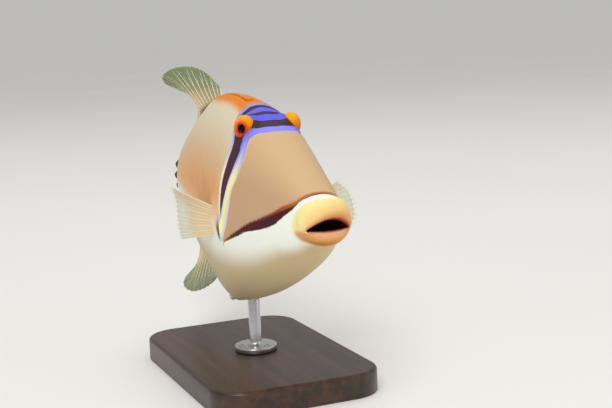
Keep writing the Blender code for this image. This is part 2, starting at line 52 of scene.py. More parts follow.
STANDARD_LENGTH = 200 * MM
MOUTH_HEIGHT = 76 * MM
GAP = 0.3 * MM
ROD_BACK = 0.43
BEND_START = 0.72
BEND_RATE = 0.45
BEND_GAIN = 0.55
LIP_ROOT = 0.055
TAIL_ROOT = 1.0
BACK_LINE = ((0.0, 0.036), (0.055, 0.045), (0.12, 0.081), (0.20, 0.124), (0.28, 0.165), (0.34, 0.190),
             (0.41, 0.205), (0.50, 0.210), (0.57, 0.202), (0.64, 0.176), (0.74, 0.127), (0.84, 0.078),
             (0.90, 0.060), (0.95, 0.055), (1.02, 0.058))
BELLY_LINE = ((0.0, -0.042), (0.055, -0.056), (0.12, -0.097), (0.20, -0.138), (0.30, -0.181), (0.40, -0.213),
              (0.48, -0.232), (0.54, -0.242), (0.57, -0.237), (0.62, -0.210), (0.70, -0.158), (0.80, -0.098),
              (0.88, -0.062), (0.94, -0.053), (1.02, -0.056))
HALF_WIDTH = ((0.0, 0.046), (0.055, 0.050), (0.12, 0.065), (0.20, 0.081), (0.28, 0.093), (0.36, 0.099),
              (0.46, 0.097), (0.56, 0.088), (0.66, 0.072), (0.76, 0.053), (0.86, 0.034), (0.93, 0.023),
              (1.02, 0.011))
WIDEST_AT = ((0.0, -0.002), (0.055, -0.004), (0.15, -0.022), (0.30, -0.040), (0.45, -0.030), (0.60, -0.008),
             (0.80, 0.0), (1.02, 0.0))
ROUND_ABOVE = ((0.0, 2.1), (0.055, 2.15), (0.15, 2.35), (0.29, 2.5), (0.40, 2.1), (0.60, 1.75), (0.80, 1.9),
               (1.02, 2.0))
ROUND_BELOW = ((0.0, 2.1), (0.055, 2.1), (0.20, 2.1), (0.40, 1.85), (0.55, 1.4), (0.70, 1.65), (1.02, 2.0))
MOUTH_CORNER_BACK = 0.027
EYE_BACK = 0.300
EYE_OUT = 0.0450
EYE_UP = 0.1545
EYE_RADIUS = 0.0235
NOSTRILS = ((0.262, 0.132), (0.270, 0.121))
NOSTRIL_RADIUS = 0.0034
GILL_SLIT_BACK = 0.336
GILL_SLIT_UP = -0.044
GILL_SLIT_SIZE = (0.0035, 0.009, 0.028)
STALK_SPINE_ROWS = ((0.870, 0.027, 8), (0.860, 0.003, 9), (0.872, -0.021, 8))
STALK_SPINE_PITCH = 0.0125
STALK_SPINE_HEIGHT = 1.1 * MM
STALK_SPINE_RADIUS = 0.65 * MM
ROOT_SUNK = 0.014
SOFT_DORSAL = dict(start=0.568, end=0.858, rays=24, middle_at=0.40, middles=(
    (0.0, (0.010, 0.003, 0.015)), (0.05, (0.018, 0.002, 0.023)), (0.12, (0.026, -0.003, 0.028)),
    (0.20, (0.032, -0.010, 0.034)), (0.27, (0.036, -0.017, 0.039)), (0.34, (0.038, -0.021, 0.044)),
    (0.41, (0.038, -0.017, 0.048)), (0.48, (0.035, -0.007, 0.050)), (0.55, (0.031, 0.004, 0.048)),
    (0.65, (0.028, 0.012, 0.042)), (0.80, (0.025, 0.014, 0.032)), (1.0, (0.020, 0.010, 0.021))), tips=(
    (0.0, (0.024, 0.005, 0.015)), (0.05, (0.046, 0.004, 0.037)), (0.12, (0.066, -0.002, 0.062)),
    (0.20, (0.078, -0.015, 0.083)), (0.27, (0.086, -0.035, 0.094)), (0.34, (0.090, -0.057, 0.098)),
    (0.41, (0.092, -0.072, 0.093)), (0.48, (0.089, -0.064, 0.084)), (0.55, (0.083, -0.030, 0.078)),
    (0.65, (0.073, 0.018, 0.068)), (0.80, (0.064, 0.040, 0.052)), (1.0, (0.050, 0.034, 0.031))))
ANAL = dict(start=0.648, end=0.856, rays=21, middle_at=0.55, middles=(
    (0.0, (0.015, 0.002, 0.017)), (0.06, (0.024, 0.001, 0.030)), (0.15, (0.029, -0.005, 0.047)),
    (0.26, (0.031, -0.013, 0.062)), (0.36, (0.031, -0.018, 0.074)), (0.45, (0.031, -0.016, 0.084)),
    (0.54, (0.030, -0.007, 0.087)), (0.63, (0.029, 0.002, 0.079)), (0.80, (0.028, 0.016, 0.052)),
    (1.0, (0.024, 0.012, 0.026))), tips=(
    (0.0, (0.030, 0.006, 0.022)), (0.06, (0.044, 0.007, 0.047)), (0.15, (0.052, -0.001, 0.077)),
    (0.26, (0.056, -0.017, 0.107)), (0.36, (0.058, -0.034, 0.124)), (0.45, (0.058, -0.045, 0.126)),
    (0.54, (0.056, -0.039, 0.122)), (0.63, (0.055, -0.008, 0.110)), (0.80, (0.053, 0.030, 0.076)),
    (1.0, (0.044, 0.026, 0.034))))
TAIL_RAYS = 12
TAIL_LENGTH = ((0.0, 0.178), (0.5, 0.190), (1.0, 0.178))
TAIL_HALF_BASE = 0.047
TAIL_SPREAD = math.radians(15)
PECTORAL_RAYS = 13
PECTORAL_BASE = (0.3555, -0.036)
PECTORAL_BASE_HALF = 0.023
PECTORAL_TIPS = {
    "left": ((0.0, (0.056, 0.100, 0.030)), (0.25, (0.042, 0.118, 0.021)), (0.5, (0.024, 0.124, 0.004)),
             (0.75, (0.010, 0.118, -0.015)), (1.0, (0.006, 0.098, -0.030))),
    "right": ((0.0, (0.092, 0.066, 0.046)), (0.25, (0.103, 0.055, 0.026)), (0.5, (0.105, 0.052, 0.005)),
              (0.75, (0.101, 0.051, -0.011)), (1.0, (0.090, 0.048, -0.020))),
}
FOLD_START = 0.388
FOLD_END = 0.556
FOLD_HALF = 1.5 * MM
FOLD_DEPTH = 1.8 * MM
PELVIC_LENGTH = 5.0 * MM
PELVIC_RADIUS = 1.6 * MM
BASE_LENGTH = 110 * MM
BASE_WIDTH = 70 * MM
BASE_THICK = 10 * MM
BASE_CORNER = 14 * MM
BASE_EDGE = 1.5 * MM
ROD_RADIUS = 2.5 * MM
FLANGE_RADIUS = 9 * MM
FLANGE_THICK = 2.2 * MM

# Sizes that the looks take finer than the CAD source, to follow the photograph

MOUTH_LINE = -0.0150
MOUTH_HALF_WIDTH = 0.0400
MOUTH_UPPER = 0.0190
MOUTH_LOWER = 0.0008
MOUTH_POINTED = 2.0  # 1 makes the opening an ellipse, more draws its corners out
LIP_OVERHANG = 0.008
LIP_TUCK = 0.015  # the lower lip is this much shallower than the chin behind it
PUPIL_ANGLE = math.radians(22.5)
GAZE_FORWARD = {"left": math.radians(8), "right": math.radians(50)}
# The turrets are taller than the CAD balls and flatter, and sit a little off them; 1 is the left one
EYE_STRETCH = {1: (0.76, 0.93, 1.03), -1: (0.88, 0.93, 1.07)}
EYE_SHIFT = {1: (0.7 * MM, -0.6 * MM, -0.3 * MM), -1: (-1.0 * MM, -1.0 * MM, -0.4 * MM)}

# Camera, fitted to the photograph

CAMERA_AZIMUTH = math.radians(-22.84)
CAMERA_ELEVATION = math.radians(8.45)
CAMERA_ROLL = math.radians(-2.45)
CAMERA_DISTANCE = 0.480
CAMERA_ASIDE = -0.02552
CAMERA_ABOVE = 0.00396
LENS = 67.35


def make_camera():
    back = Vector((math.sin(CAMERA_AZIMUTH) * math.cos(CAMERA_ELEVATION),
                   -math.cos(CAMERA_AZIMUTH) * math.cos(CAMERA_ELEVATION), math.sin(CAMERA_ELEVATION)))
    level = Vector((math.cos(CAMERA_AZIMUTH), math.sin(CAMERA_AZIMUTH), 0))
    upright = back.cross(level)
    right = level * math.cos(CAMERA_ROLL) + upright * math.sin(CAMERA_ROLL)
    top = upright * math.cos(CAMERA_ROLL) - level * math.sin(CAMERA_ROLL)
    aim = Vector((0, 0.02 * STANDARD_LENGTH, MOUTH_HEIGHT))
    place_at = aim + back * CAMERA_DISTANCE - right * CAMERA_ASIDE - top * CAMERA_ABOVE
    data = bpy.data.cameras.new("camera")
    data.sensor_width = 36
    data.lens = LENS
    data.clip_start = 0.01
    made = bpy.data.objects.new("camera", data)
    made.matrix_world = Matrix(((right.x, top.x, back.x, place_at.x), (right.y, top.y, back.y, place_at.y),
                                (right.z, top.z, back.z, place_at.z), (0, 0, 0, 1)))
    bpy.context.scene.collection.objects.link(made)
    bpy.context.scene.camera = made


# Helpers


def along(points, x):
    """Smooth curve through (x, value) points, held flat past the ends. x and the values may be arrays."""
    xs = np.array([p[0] for p in points], float)
    ys = np.array([p[1] for p in points], float)
    x = np.clip(np.asarray(x, float), xs[0], xs[-1])
    i = np.clip(np.searchsorted(xs, x) - 1, 0, len(xs) - 2)
    slopes = np.gradient(ys, xs, axis=0)
    width = xs[i + 1] - xs[i]
    t = (x - xs[i]) / width
    if ys.ndim > 1:
        spare = (...,) + (None,) * (ys.ndim - 1)
        t, width = t[spare], width[spare]
    return ((2 * t**3 - 3 * t**2 + 1) * ys[i] + (t**3 - 2 * t**2 + t) * width * slopes[i]
            + (-2 * t**3 + 3 * t**2) * ys[i + 1] + (t**3 - t**2) * width * slopes[i + 1])


def smooth(low, high, x):
    """0 below low, 1 above high and a soft step between; low may be above high for a step down."""
    t = np.clip((np.asarray(x, float) - low) / (high - low), 0, 1)
    return t * t * (3 - 2 * t)


def bell(x, centre, half):
    return np.exp(-((np.asarray(x, float) - centre) / half) ** 2)


def power(value, exponent):
    return np.sign(value) * np.abs(value) ** exponent


def bend(back):
    past = np.maximum(0.0, back - BEND_START)
    return BEND_RATE * past**2 + BEND_GAIN * past**3


def place(back, left, up):
    """Points in metres from fish fractions; the last axis of the result is x, y, z."""
    back, left, up = np.broadcast_arrays(np.asarray(back, float), left, up)
    return np.stack([(left + bend(back)) * STANDARD_LENGTH, (back - ROD_BACK) * STANDARD_LENGTH,
                     MOUTH_HEIGHT + up * STANDARD_LENGTH], axis=-1)


def section(back, angle):
    """(left, up) of the body's cross-section; angle 0 is the left flank and 90 degrees the back."""
    middle = along(WIDEST_AT, back)
    above = np.sin(angle) >= 0
    rim = np.where(above, along(BACK_LINE, back), along(BELLY_LINE, back))
    shape = 2 / np.where(above, along(ROUND_ABOVE, back), along(ROUND_BELOW, back))
    left = along(HALF_WIDTH, back) * power(np.cos(angle), shape)
    return left, middle + (rim - middle) * np.abs(np.sin(angle)) ** shape


def flank(back, up):
    """Half width of the body at that height."""
    middle = along(WIDEST_AT, back)
    rim, shape = ((along(BACK_LINE, back), along(ROUND_ABOVE, back)) if up >= middle
                  else (along(BELLY_LINE, back), along(ROUND_BELOW, back)))
    share = min(1.0, abs((up - middle) / (rim - middle)))
    return along(HALF_WIDTH, back) * (1 - share**shape) ** (1 / shape)


def unit(v):
    v = np.asarray(v, float)
    return v / np.maximum(np.linalg.norm(v, axis=-1, keepdims=True), 1e-12)


def make_piece(name, points, faces, finish, replaces=()):
    """A closed mesh object at the origin that rides on the root body."""
    mesh = bpy.data.meshes.new(name)
    mesh.from_pydata(np.asarray(points, float).tolist(), [], faces)
    shell = bmesh.new()
    shell.from_mesh(mesh)
    bmesh.ops.recalc_face_normals(shell, faces=shell.faces)
    if shell.calc_volume(signed=True) < 0:
        bmesh.ops.reverse_faces(shell, faces=shell.faces)
    shell.to_mesh(mesh)
    shell.free()
    mesh.materials.append(finish)
    mesh.shade_smooth()
    made = bpy.data.objects.new(name, mesh)
    bpy.context.scene.collection.objects.link(made)
    return settle(made, replaces)


def settle(piece, replaces=()):
    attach(piece, "root")
    if replaces:
        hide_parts(*replaces)
    return piece


def tube_faces(rows, count):
    """Faces of a tube of rings, its ends closed by one face each."""
    faces = []
    for row in range(rows - 1):
        for side in range(count):
            a = row * count + side
            b = row * count + (side + 1) % count
            faces.append((a, b, b + count, a + count))
    faces.append(tuple(reversed(range(count))))
    faces.append(tuple(range((rows - 1) * count, rows * count)))
    return faces


def turned(profile, sides, centre, axis):
    """Rings of a turned solid: profile is (distance along the axis, radius)."""
    aim = Vector(axis).normalized()
    across = aim.orthogonal().normalized()
    other = aim.cross(across)
    turns = 2 * np.pi * np.arange(sides) / sides
    round_it = np.outer(np.cos(turns), across) + np.outer(np.sin(turns), other)
    return [np.array(centre) + np.array(aim) * far + round_it * radius for far, radius in profile]


def set_field(mesh, name, values):
    made = mesh.attributes.new(name, "FLOAT", "POINT")
    made.data.foreach_set("value", np.asarray(values, np.float32).ravel())


def set_vectors(mesh, name, values):
    made = mesh.attributes.new(name, "FLOAT_VECTOR", "POINT")
    made.data.foreach_set("vector", np.asarray(values, np.float32).ravel())


# Node helpers


def colour(hex_code):
    """Linear colour from an sRGB hex code."""
    parts = [int(hex_code[i:i + 2], 16) / 255 for i in (1, 3, 5)]
    return tuple(p / 12.92 if p <= 0.04045 else ((p + 0.055) / 1.055) ** 2.4 for p in parts) + (1.0,)


def fill(tree, node, inputs):
    """Fills a node's inputs, each from a plain value, a hex colour, a socket, or a node.

    Of a node its first output is meant, or the colour that a colour mix gives.
    """
    for key, value in inputs.items():
        if isinstance(value, bpy.types.Node):
            value = value.outputs[2 if value.bl_idname == "ShaderNodeMix" else 0]
        if isinstance(value, bpy.types.NodeSocket):
            tree.links.new(value, node.inputs[key])
        else:
            node.inputs[key].default_value = colour(value) if str(value).startswith("#") else value


def add(tree, kind, inputs=None, stops=(), **settings):
    """Adds a node with its settings and inputs; stops are the (place, hex colour) pairs of a colour ramp."""
    made = tree.nodes.new(kind)
    for key, value in settings.items():
        setattr(made, key, value)
    fill(tree, made, inputs or {})
    if stops:
        elements = made.color_ramp.elements
        while len(elements) < len(stops):
            elements.new(0.5)
        for element, (at, hex_code) in zip(elements, stops):
            element.position = at
            element.color = colour(hex_code)
    return made


def layered(tree, paint, layers):
    """Lays colours over a paint, each as (attribute that says where, strength, colour)."""
    for name, strength, over in layers:
        where = add(tree, "ShaderNodeAttribute", attribute_name=name).outputs["Fac"]
        amount = add(tree, "ShaderNodeMath", {0: where, 1: strength}, operation="MULTIPLY")
        paint = add(tree, "ShaderNodeMix", {0: amount, 6: paint, 7: over}, data_type="RGBA")
    return paint


def new_material(name):
    made = bpy.data.materials.new(name)
    made.use_nodes = True
    return made, made.node_tree, made.node_tree.nodes["Principled BSDF"]


# Skin: shape

COLUMNS = 272
LIP_ROWS = 78
HEAD_ROWS = 98
BODY_ROWS = 178
HEAD_END = 0.36  # the rows stand closer together in front of here
LIP_BLEND = 0.085  # the lips' rings carry on as far as this into the body
TAIL_TIP = 1.034  # the flesh thins out over the roots of the tail's rays
THROAT_HALF_WIDTH = 0.8 * MOUTH_HALF_WIDTH
THROAT_HALF_HEIGHT = 0.012
THROAT_ABOVE = 0.005  # above the line of the mouth
# The lips' rings, as (back, share of the way out from the mouth's edge), and the throat's, as (back, size)
LIP_RINGS = ((0.043, 1.0), (0.030, 0.99), (0.017, 0.94), (0.007, 0.82), (0.001, 0.63), (0.0, 0.44),
             (0.004, 0.24), (0.010, 0.09), (0.017, 0.0))
THROAT_RINGS = ((0.028, 0.93), (0.038, 0.70), (0.046, 0.35), (0.049, 0.06))
THROAT_STEP = 0.013
RING_SAMPLES = 240  # points on each quarter of a ring before they are spaced evenly


def even_ring(ring_at):
    """One ring with its points spaced evenly in each quarter; ring_at(angles) gives (n, 3) points.

    The first point is on the back, and the ring goes down the left side and up the right one.
    """
    side = COLUMNS // 4
    points = []
    for start in (np.pi / 2, 0.0, -np.pi / 2, -np.pi):
        dense = ring_at(start - np.linspace(0, np.pi / 2, RING_SAMPLES))
        steps = np.linalg.norm(np.diff(dense, axis=0), axis=1)
        length = np.concatenate([[0], np.cumsum(steps)])
        at = np.linspace(0, length[-1], side + 1)[:-1]
        points.append(np.stack([np.interp(at, length, dense[:, i]) for i in range(3)], axis=1))
    return np.concatenate(points)


def body_ring(back):
    def ring_at(angle):
        left, up = section(back, angle)
        if back > TAIL_ROOT:
            thin = np.sqrt(max(0.0, 1 - ((back - TAIL_ROOT) / (TAIL_TIP - TAIL_ROOT)) ** 2))
            left = left * (0.12 + 0.88 * thin)
            up = up * (0.90 + 0.10 * thin)
        return place(back, left, up)
    return even_ring(ring_at)


def lip_ring(share, back):
    def ring_at(angle):
        outer_left, outer_up = section(LIP_ROOT, angle)
        height = np.where(np.sin(angle) >= 0, MOUTH_UPPER, MOUTH_LOWER)
        inner_left = MOUTH_HALF_WIDTH * np.cos(angle)
        inner_up = MOUTH_LINE + height * power(np.sin(angle), MOUTH_POINTED)
        front = 1 - min(1.0, max(0.0, back / LIP_ROOT))
        corner = MOUTH_CORNER_BACK * np.abs(np.cos(angle)) ** 2.4 * front
        under = LIP_OVERHANG * np.maximum(0, -np.sin(angle)) * front
        tuck = front**0.5 * np.maximum(0, -np.sin(angle)) ** 0.8
        outer_left, outer_up = outer_left * (1 - 0.10 * tuck), outer_up + LIP_TUCK * tuck
        return place(back + corner + under, inner_left + (outer_left - inner_left) * share,
                     inner_up + (outer_up - inner_up) * share)
    return even_ring(ring_at)


def throat_ring(back, size):
    def ring_at(angle):
        return place(back + 0.25 * MOUTH_CORNER_BACK * np.cos(angle) ** 2,
                     THROAT_HALF_WIDTH * size * np.cos(angle),
                     MOUTH_LINE + THROAT_ABOVE + THROAT_HALF_HEIGHT * size * np.sin(angle))
    return even_ring(ring_at)


def skin_grid():
    """Rows of rings from the throat out over the lips and back to the tail, and the run of each row."""
    keys = [(back, body_ring(back)) for back in (0.110, 0.096, LIP_BLEND, 0.070)]
    keys.append((LIP_ROOT, lip_ring(1.0, LIP_ROOT)))
    run = LIP_ROOT
    before = (LIP_ROOT, 1.0)
    for back, share in LIP_RINGS:
        run -= math.hypot(before[0] - back, (before[1] - share) * 0.04)
        before = (back, share)
        keys.append((run, lip_ring(share, back)))
    for back, size in THROAT_RINGS:
        run -= THROAT_STEP
        keys.append((run, throat_ring(back, size)))
    keys.reverse()
    lip_runs = np.linspace(keys[0][0], LIP_BLEND, LIP_ROWS)
    body_runs = np.concatenate([np.linspace(LIP_BLEND, HEAD_END, HEAD_ROWS + 1)[1:],
                                np.linspace(HEAD_END, TAIL_TIP, BODY_ROWS + 1)[1:]])
    rows = [along(keys, lip_runs), np.array([body_ring(b) for b in body_runs])]
    return np.concatenate(rows), np.concatenate([lip_runs, body_runs])


def grid_slopes(field):
    """Differences of a field on the grid along the rows and around the rings."""
    return np.gradient(field, axis=0), (np.roll(field, -1, axis=1) - np.roll(field, 1, axis=1)) / 2


def grid_normals(points):
    down, around = grid_slopes(points)
    return unit(np.cross(down, around))


# Skin: relief, all heights in metres

PLATE_PITCH = 2.3 * MM  # the diamond plates that a triggerfish wears for scales
PLATE_RELIEF = 0.08 * MM
PLATE_SLANT = 0.55
RIM_HEIGHT = 0.5 * MM  # fold of skin round each eye
RIM_HALF = 1.3 * MM
SOCKET_DEPTH = 0.9 * MM
LIP_CREASES = 46
LIP_CREASE_DEPTH = 0.07 * MM
CORNER_CREASE_DEPTH = 0.25 * MM
LIP_FURROW_DEPTH = 0.35 * MM
NOSTRIL_RIM = 0.35 * MM
NOSTRIL_DEPTH = 1.0 * MM
GILL_LIP = 0.9 * MM  # the edge of the gill cover in front of its slit, and of the flesh behind it
GILL_DEPTH = 1.3 * MM
GILL_REAR_LIP = 0.3 * MM
PECTORAL_FOOT = 1.7 * MM
PECTORAL_FOOT_SIZE = np.array([0.02, 0.015, 0.030]) * STANDARD_LENGTH
FIN_SHEATH = 0.7 * MM
BELLY_ROUND = 60 * MM  # about the way round from the back to the belly under the anal fin
FOLD_NARROWS = 0.62  # the folded fin and its groove lose this share of their width towards the tail
FOLD_FILL = 0.9  # of the groove's depth
GROOVE_LIP = 0.25 * MM


def skin_places(points, runs):
    """For each point of the grid its run and signed way round from the back, both in metres."""
    steps = np.linalg.norm(np.roll(points, -1, axis=1) - points, axis=2)
    half = COLUMNS // 2
    left = np.concatenate([np.zeros((len(runs), 1)), np.cumsum(steps[:, :half], axis=1)], axis=1)
    right = np.cumsum(steps[:, ::-1][:, :half - 1], axis=1)[:, ::-1]
    round_it = np.concatenate([left, -right], axis=1)
    return np.repeat(runs[:, None], COLUMNS, axis=1) * STANDARD_LENGTH, round_it


def plate_height(run_m, round_m):
    """0 in the grooves between the plates and 1 on their crowns."""
    across = np.abs(np.sin(np.pi * (run_m + PLATE_SLANT * round_m) / PLATE_PITCH))
    down = np.abs(np.sin(np.pi * (run_m - PLATE_SLANT * round_m) / PLATE_PITCH))
    return (across * down) ** 0.45


def mouth_corner(run):
    """Girth at which the crease of the mouth's corner lies."""
    return 0.548 + 0.35 * (run + 0.037)


def relief(points, normals, runs, girth, run_m, round_m):
    """How far the skin stands out from the plain body at each point."""
    run = runs[:, None]
    plates = smooth(0.075, 0.13, run) * smooth(1.0, 0.97, run)
    plates = plates * smooth(1.0, 0.93, girth) * smooth(0.0, 0.03, girth)
    high = PLATE_RELIEF * plates * (plate_height(run_m, round_m) - 0.6)

    # Lips: fine creases that run into the mouth, and a soft furrow behind the lips
    creases = np.sin(girth * np.pi * LIP_CREASES + 2.2 * np.sin(girth * 31))
    creases = creases * (0.6 + 0.4 * np.sin(girth * 17))
    high = high + LIP_CREASE_DEPTH * creases * bell(run, -0.022, 0.020)
    corner = bell(girth, mouth_corner(run), 0.012) * smooth(0.030, -0.020, run) * smooth(-0.045, -0.036, run)
    high = high - CORNER_CREASE_DEPTH * corner
    furrow = bell(run, 0.064, 0.012) * smooth(0.25, 0.45, girth) * smooth(0.95, 0.75, girth)
    high = high - LIP_FURROW_DEPTH * furrow

    for side in (1, -1):
        from_eye = np.linalg.norm((points - eye_middle(side)) / EYE_STRETCH[side], axis=2)
        off = from_eye - EYE_RADIUS * STANDARD_LENGTH
        inner = smooth(0.0, 4.0 * MM, (eye_middle(side)[0] - points[..., 0]) * side)
        high = high + RIM_HEIGHT * (1 + 1.6 * inner) * bell(off, 0.15 * MM, RIM_HALF * (1 + 0.5 * inner))
        high = high - SOCKET_DEPTH * smooth(0.0, -1.5 * MM, off)
        here = normals[..., 0] * side > -0.2
        for back, up in NOSTRILS:
            pit = NOSTRIL_RADIUS * STANDARD_LENGTH
            away = np.linalg.norm(points - place(back, side * flank(back, up), up), axis=2)
            high = high + here * (NOSTRIL_RIM * bell(away, 1.15 * pit, 0.55 * pit)
                                  - NOSTRIL_DEPTH * bell(away, 0.0, 0.6 * pit))
        slit = place(GILL_SLIT_BACK, side * flank(GILL_SLIT_BACK, GILL_SLIT_UP), GILL_SLIT_UP)
        behind = (points[..., 1] - slit[1] - 0.10 * (points[..., 2] - slit[2])) / MM
        slit_half = GILL_SLIT_SIZE[2] * STANDARD_LENGTH
        within = smooth(slit_half, 0.6 * slit_half, np.abs(points[..., 2] - slit[2]))
        gill = GILL_LIP * bell(behind, -1.3, 1.1) - GILL_DEPTH * bell(behind, 0.35, 0.55)
        high = high + here * within * (gill + GILL_REAR_LIP * bell(behind, 1.6, 0.9))
        # The fleshy foot of the pectoral fin
        foot = place(PECTORAL_BASE[0] + 0.006, side * flank(*PECTORAL_BASE), PECTORAL_BASE[1])
        away = (points - foot) / PECTORAL_FOOT_SIZE
        high = high + here * PECTORAL_FOOT * np.exp(-(away**2).sum(axis=2))
    # Sheaths along the feet of the soft dorsal and anal fins
    for fin, from_middle in ((SOFT_DORSAL, round_m), (ANAL, (1 - girth) * BELLY_ROUND)):
        along_it = smooth(fin["start"] - 0.012, fin["start"] + 0.01, run)
        along_it = along_it * smooth(fin["end"] + 0.015, fin["end"], run)
        high = high + FIN_SHEATH * along_it * bell(from_middle, 0.0, 2.0 * MM)
    # The groove of the folded first dorsal fin
    groove = smooth(FOLD_START - 0.012, FOLD_START, run) * smooth(FOLD_END + 0.008, FOLD_END, run)
    share = np.clip((run - FOLD_START) / (FOLD_END - FOLD_START), 0, 1)
    half = FOLD_HALF * (1 - FOLD_NARROWS * share) + GAP
    off = np.abs(round_m)
    high = high - groove * smooth(half + 0.9 * MM, half, off) * FOLD_DEPTH * FOLD_FILL
    return high + groove * GROOVE_LIP * bell(off, half + 1.4 * MM, MM)


# Skin: markings

# Each line is the edge between two colours, as (girth, run) points down one flank; both flanks are alike.
# They stand in order from the mouth to the back of the head, and meet where a colour ends.
SIDE_REAR = ((0.18, 0.3025), (0.203, 0.302), (0.251, 0.307), (0.303, 0.316), (0.344, 0.323), (0.404, 0.3285),
             (0.45, 0.3305), (0.575, 0.331))
EDGES = {
    "lip": ((0, 0.018), (0.07, 0.020), (0.144, 0.026), (0.216, 0.035), (0.283, 0.048), (0.343, 0.057),
            (0.396, 0.063), (0.444, 0.067), (0.498, 0.070), (0.552, 0.070), (0.621, 0.066), (0.686, 0.058),
            (0.783, 0.042), (0.9, 0.034), (1, 0.032)),
    "stripe_front": ((0, 0.0555), (0.10, 0.056), (0.174, 0.059), (0.246, 0.0635), (0.303, 0.067),
                     (0.344, 0.071), (0.392, 0.081), (0.433, 0.095), (0.461, 0.108), (0.487, 0.125),
                     (0.500, 0.150), (0.508, 0.178), (0.510, 0.201), (0.516, 0.222), (0.532, 0.247),
                     (0.556, 0.285), (0.580, 0.320), (0.61, 0.331)),
    "stripe_core": ((0, 0.0595), (0.125, 0.060), (0.191, 0.062), (0.244, 0.065), (0.302, 0.071),
                    (0.338, 0.080), (0.367, 0.092), (0.398, 0.109), (0.434, 0.142), (0.459, 0.176),
                    (0.471, 0.203), (0.484, 0.223), (0.506, 0.249), (0.529, 0.273), (0.556, 0.298),
                    (0.578, 0.321), (0.61, 0.331)),
    "stripe_back": ((0, 0.0635), (0.14, 0.067), (0.212, 0.070), (0.25, 0.073), (0.286, 0.079), (0.321, 0.089),
                    (0.344, 0.099), (0.386, 0.118), (0.414, 0.138), (0.448, 0.176), (0.476, 0.219),
                    (0.503, 0.253), (0.526, 0.277), (0.549, 0.299), (0.576, 0.322), (0.61, 0.331)),
    "orange_line": ((0, 0.238), (0.06, 0.243), (0.105, 0.254), (0.134, 0.255), (0.19, 0.246), (0.25, 0.248),
                    (0.29, 0.253), (0.35, 0.271), (0.42, 0.283), (0.48, 0.295), (0.54, 0.307), (0.58, 0.322),
                    (0.61, 0.331)),
    "front_blue": ((0, 0.240), (0.06, 0.245), (0.103, 0.257), (0.136, 0.2585), (0.19, 0.251), (0.25, 0.254),
                   (0.29, 0.260), (0.35, 0.277), (0.42, 0.288), (0.48, 0.301), (0.535, 0.316), (0.58, 0.326),
                   (0.61, 0.331)),
    "yellow": ((0, 0.255), (0.10, 0.268), (0.150, 0.270), (0.163, 0.2665), (0.177, 0.262), (0.21, 0.2585),
               (0.26, 0.2615), (0.30, 0.267), (0.355, 0.284), (0.42, 0.298), (0.485, 0.313), (0.54, 0.326),
               (0.58, 0.330), (0.61, 0.331)),
    "thin_blue": ((0, 0.255), (0.10, 0.268), (0.150, 0.270), (0.164, 0.2675), (0.196, 0.266), (0.226, 0.2685),
                  (0.28, 0.280), (0.31, 0.288), (0.36, 0.302), (0.42, 0.315), (0.48, 0.327), (0.54, 0.331),
                  (0.61, 0.331)),
    "bar": ((0, 0.258), (0.044, 0.261), (0.07, 0.265), (0.094, 0.273), (0.12, 0.277), (0.142, 0.277),
            (0.169, 0.274), (0.195, 0.271), (0.224, 0.274), (0.283, 0.285), (0.312, 0.2925), (0.364, 0.3045),
            (0.416, 0.318), (0.46, 0.329), (0.54, 0.331), (0.61, 0.331)),
    "violet": ((0, 0.281), (0.03, 0.281), (0.051, 0.283), (0.073, 0.288), (0.12, 0.300)) + SIDE_REAR,
    "bar_two": ((0, 0.304), (0.025, 0.303), (0.043, 0.304), (0.055, 0.309), (0.08, 0.312),
                (0.12, 0.306)) + SIDE_REAR,
    "blue_two": ((0, 0.315), (0.025, 0.314), (0.041, 0.314), (0.059, 0.318), (0.08, 0.318),
                 (0.12, 0.308)) + SIDE_REAR,
    "bar_three": ((0, 0.334), (0.026, 0.330), (0.041, 0.3275), (0.057, 0.326), (0.070, 0.325), (0.09, 0.322),
                  (0.12, 0.311)) + SIDE_REAR,
    "lavender": ((0, 0.346), (0.023, 0.344), (0.040, 0.343), (0.054, 0.339), (0.07, 0.3365), (0.085, 0.334),
                 (0.12, 0.316)) + SIDE_REAR,
    "flank": ((0, 0.360), (0.013, 0.358), (0.034, 0.354), (0.057, 0.350), (0.078, 0.346), (0.096, 0.342),
              (0.112, 0.338), (0.145, 0.321), (0.167, 0.312), (0.181, 0.309), (0.200, 0.3095),
              (0.244, 0.3155), (0.294, 0.3245), (0.336, 0.331), (0.372, 0.334), (0.404, 0.336),
              (0.432, 0.338), (0.454, 0.337), (0.50, 0.333), (0.575, 0.331), (0.66, 0.322)),
}
FAR = 30 * MM  # edges further off than this are all alike
VENT_BACK = 0.632
STALK_MIDDLE = 0.47


def edge_distance(line, points, runs, girth):
    """Signed way in metres from an edge on the skin, more than 0 on the tail's side."""
    away = runs[:, None] - along(line, girth)[None, :]
    away_down, away_round = grid_slopes(away)
    down, around = grid_slopes(points)
    e, f, g = (down**2).sum(2), (down * around).sum(2), (around**2).sum(2)
    slope = np.sqrt((g * away_down**2 - 2 * f * away_down * away_round + e * away_round**2)
                    / np.maximum(e * g - f * f, 1e-24))
    return np.clip(away / np.maximum(slope, 1e-6), -FAR, FAR)


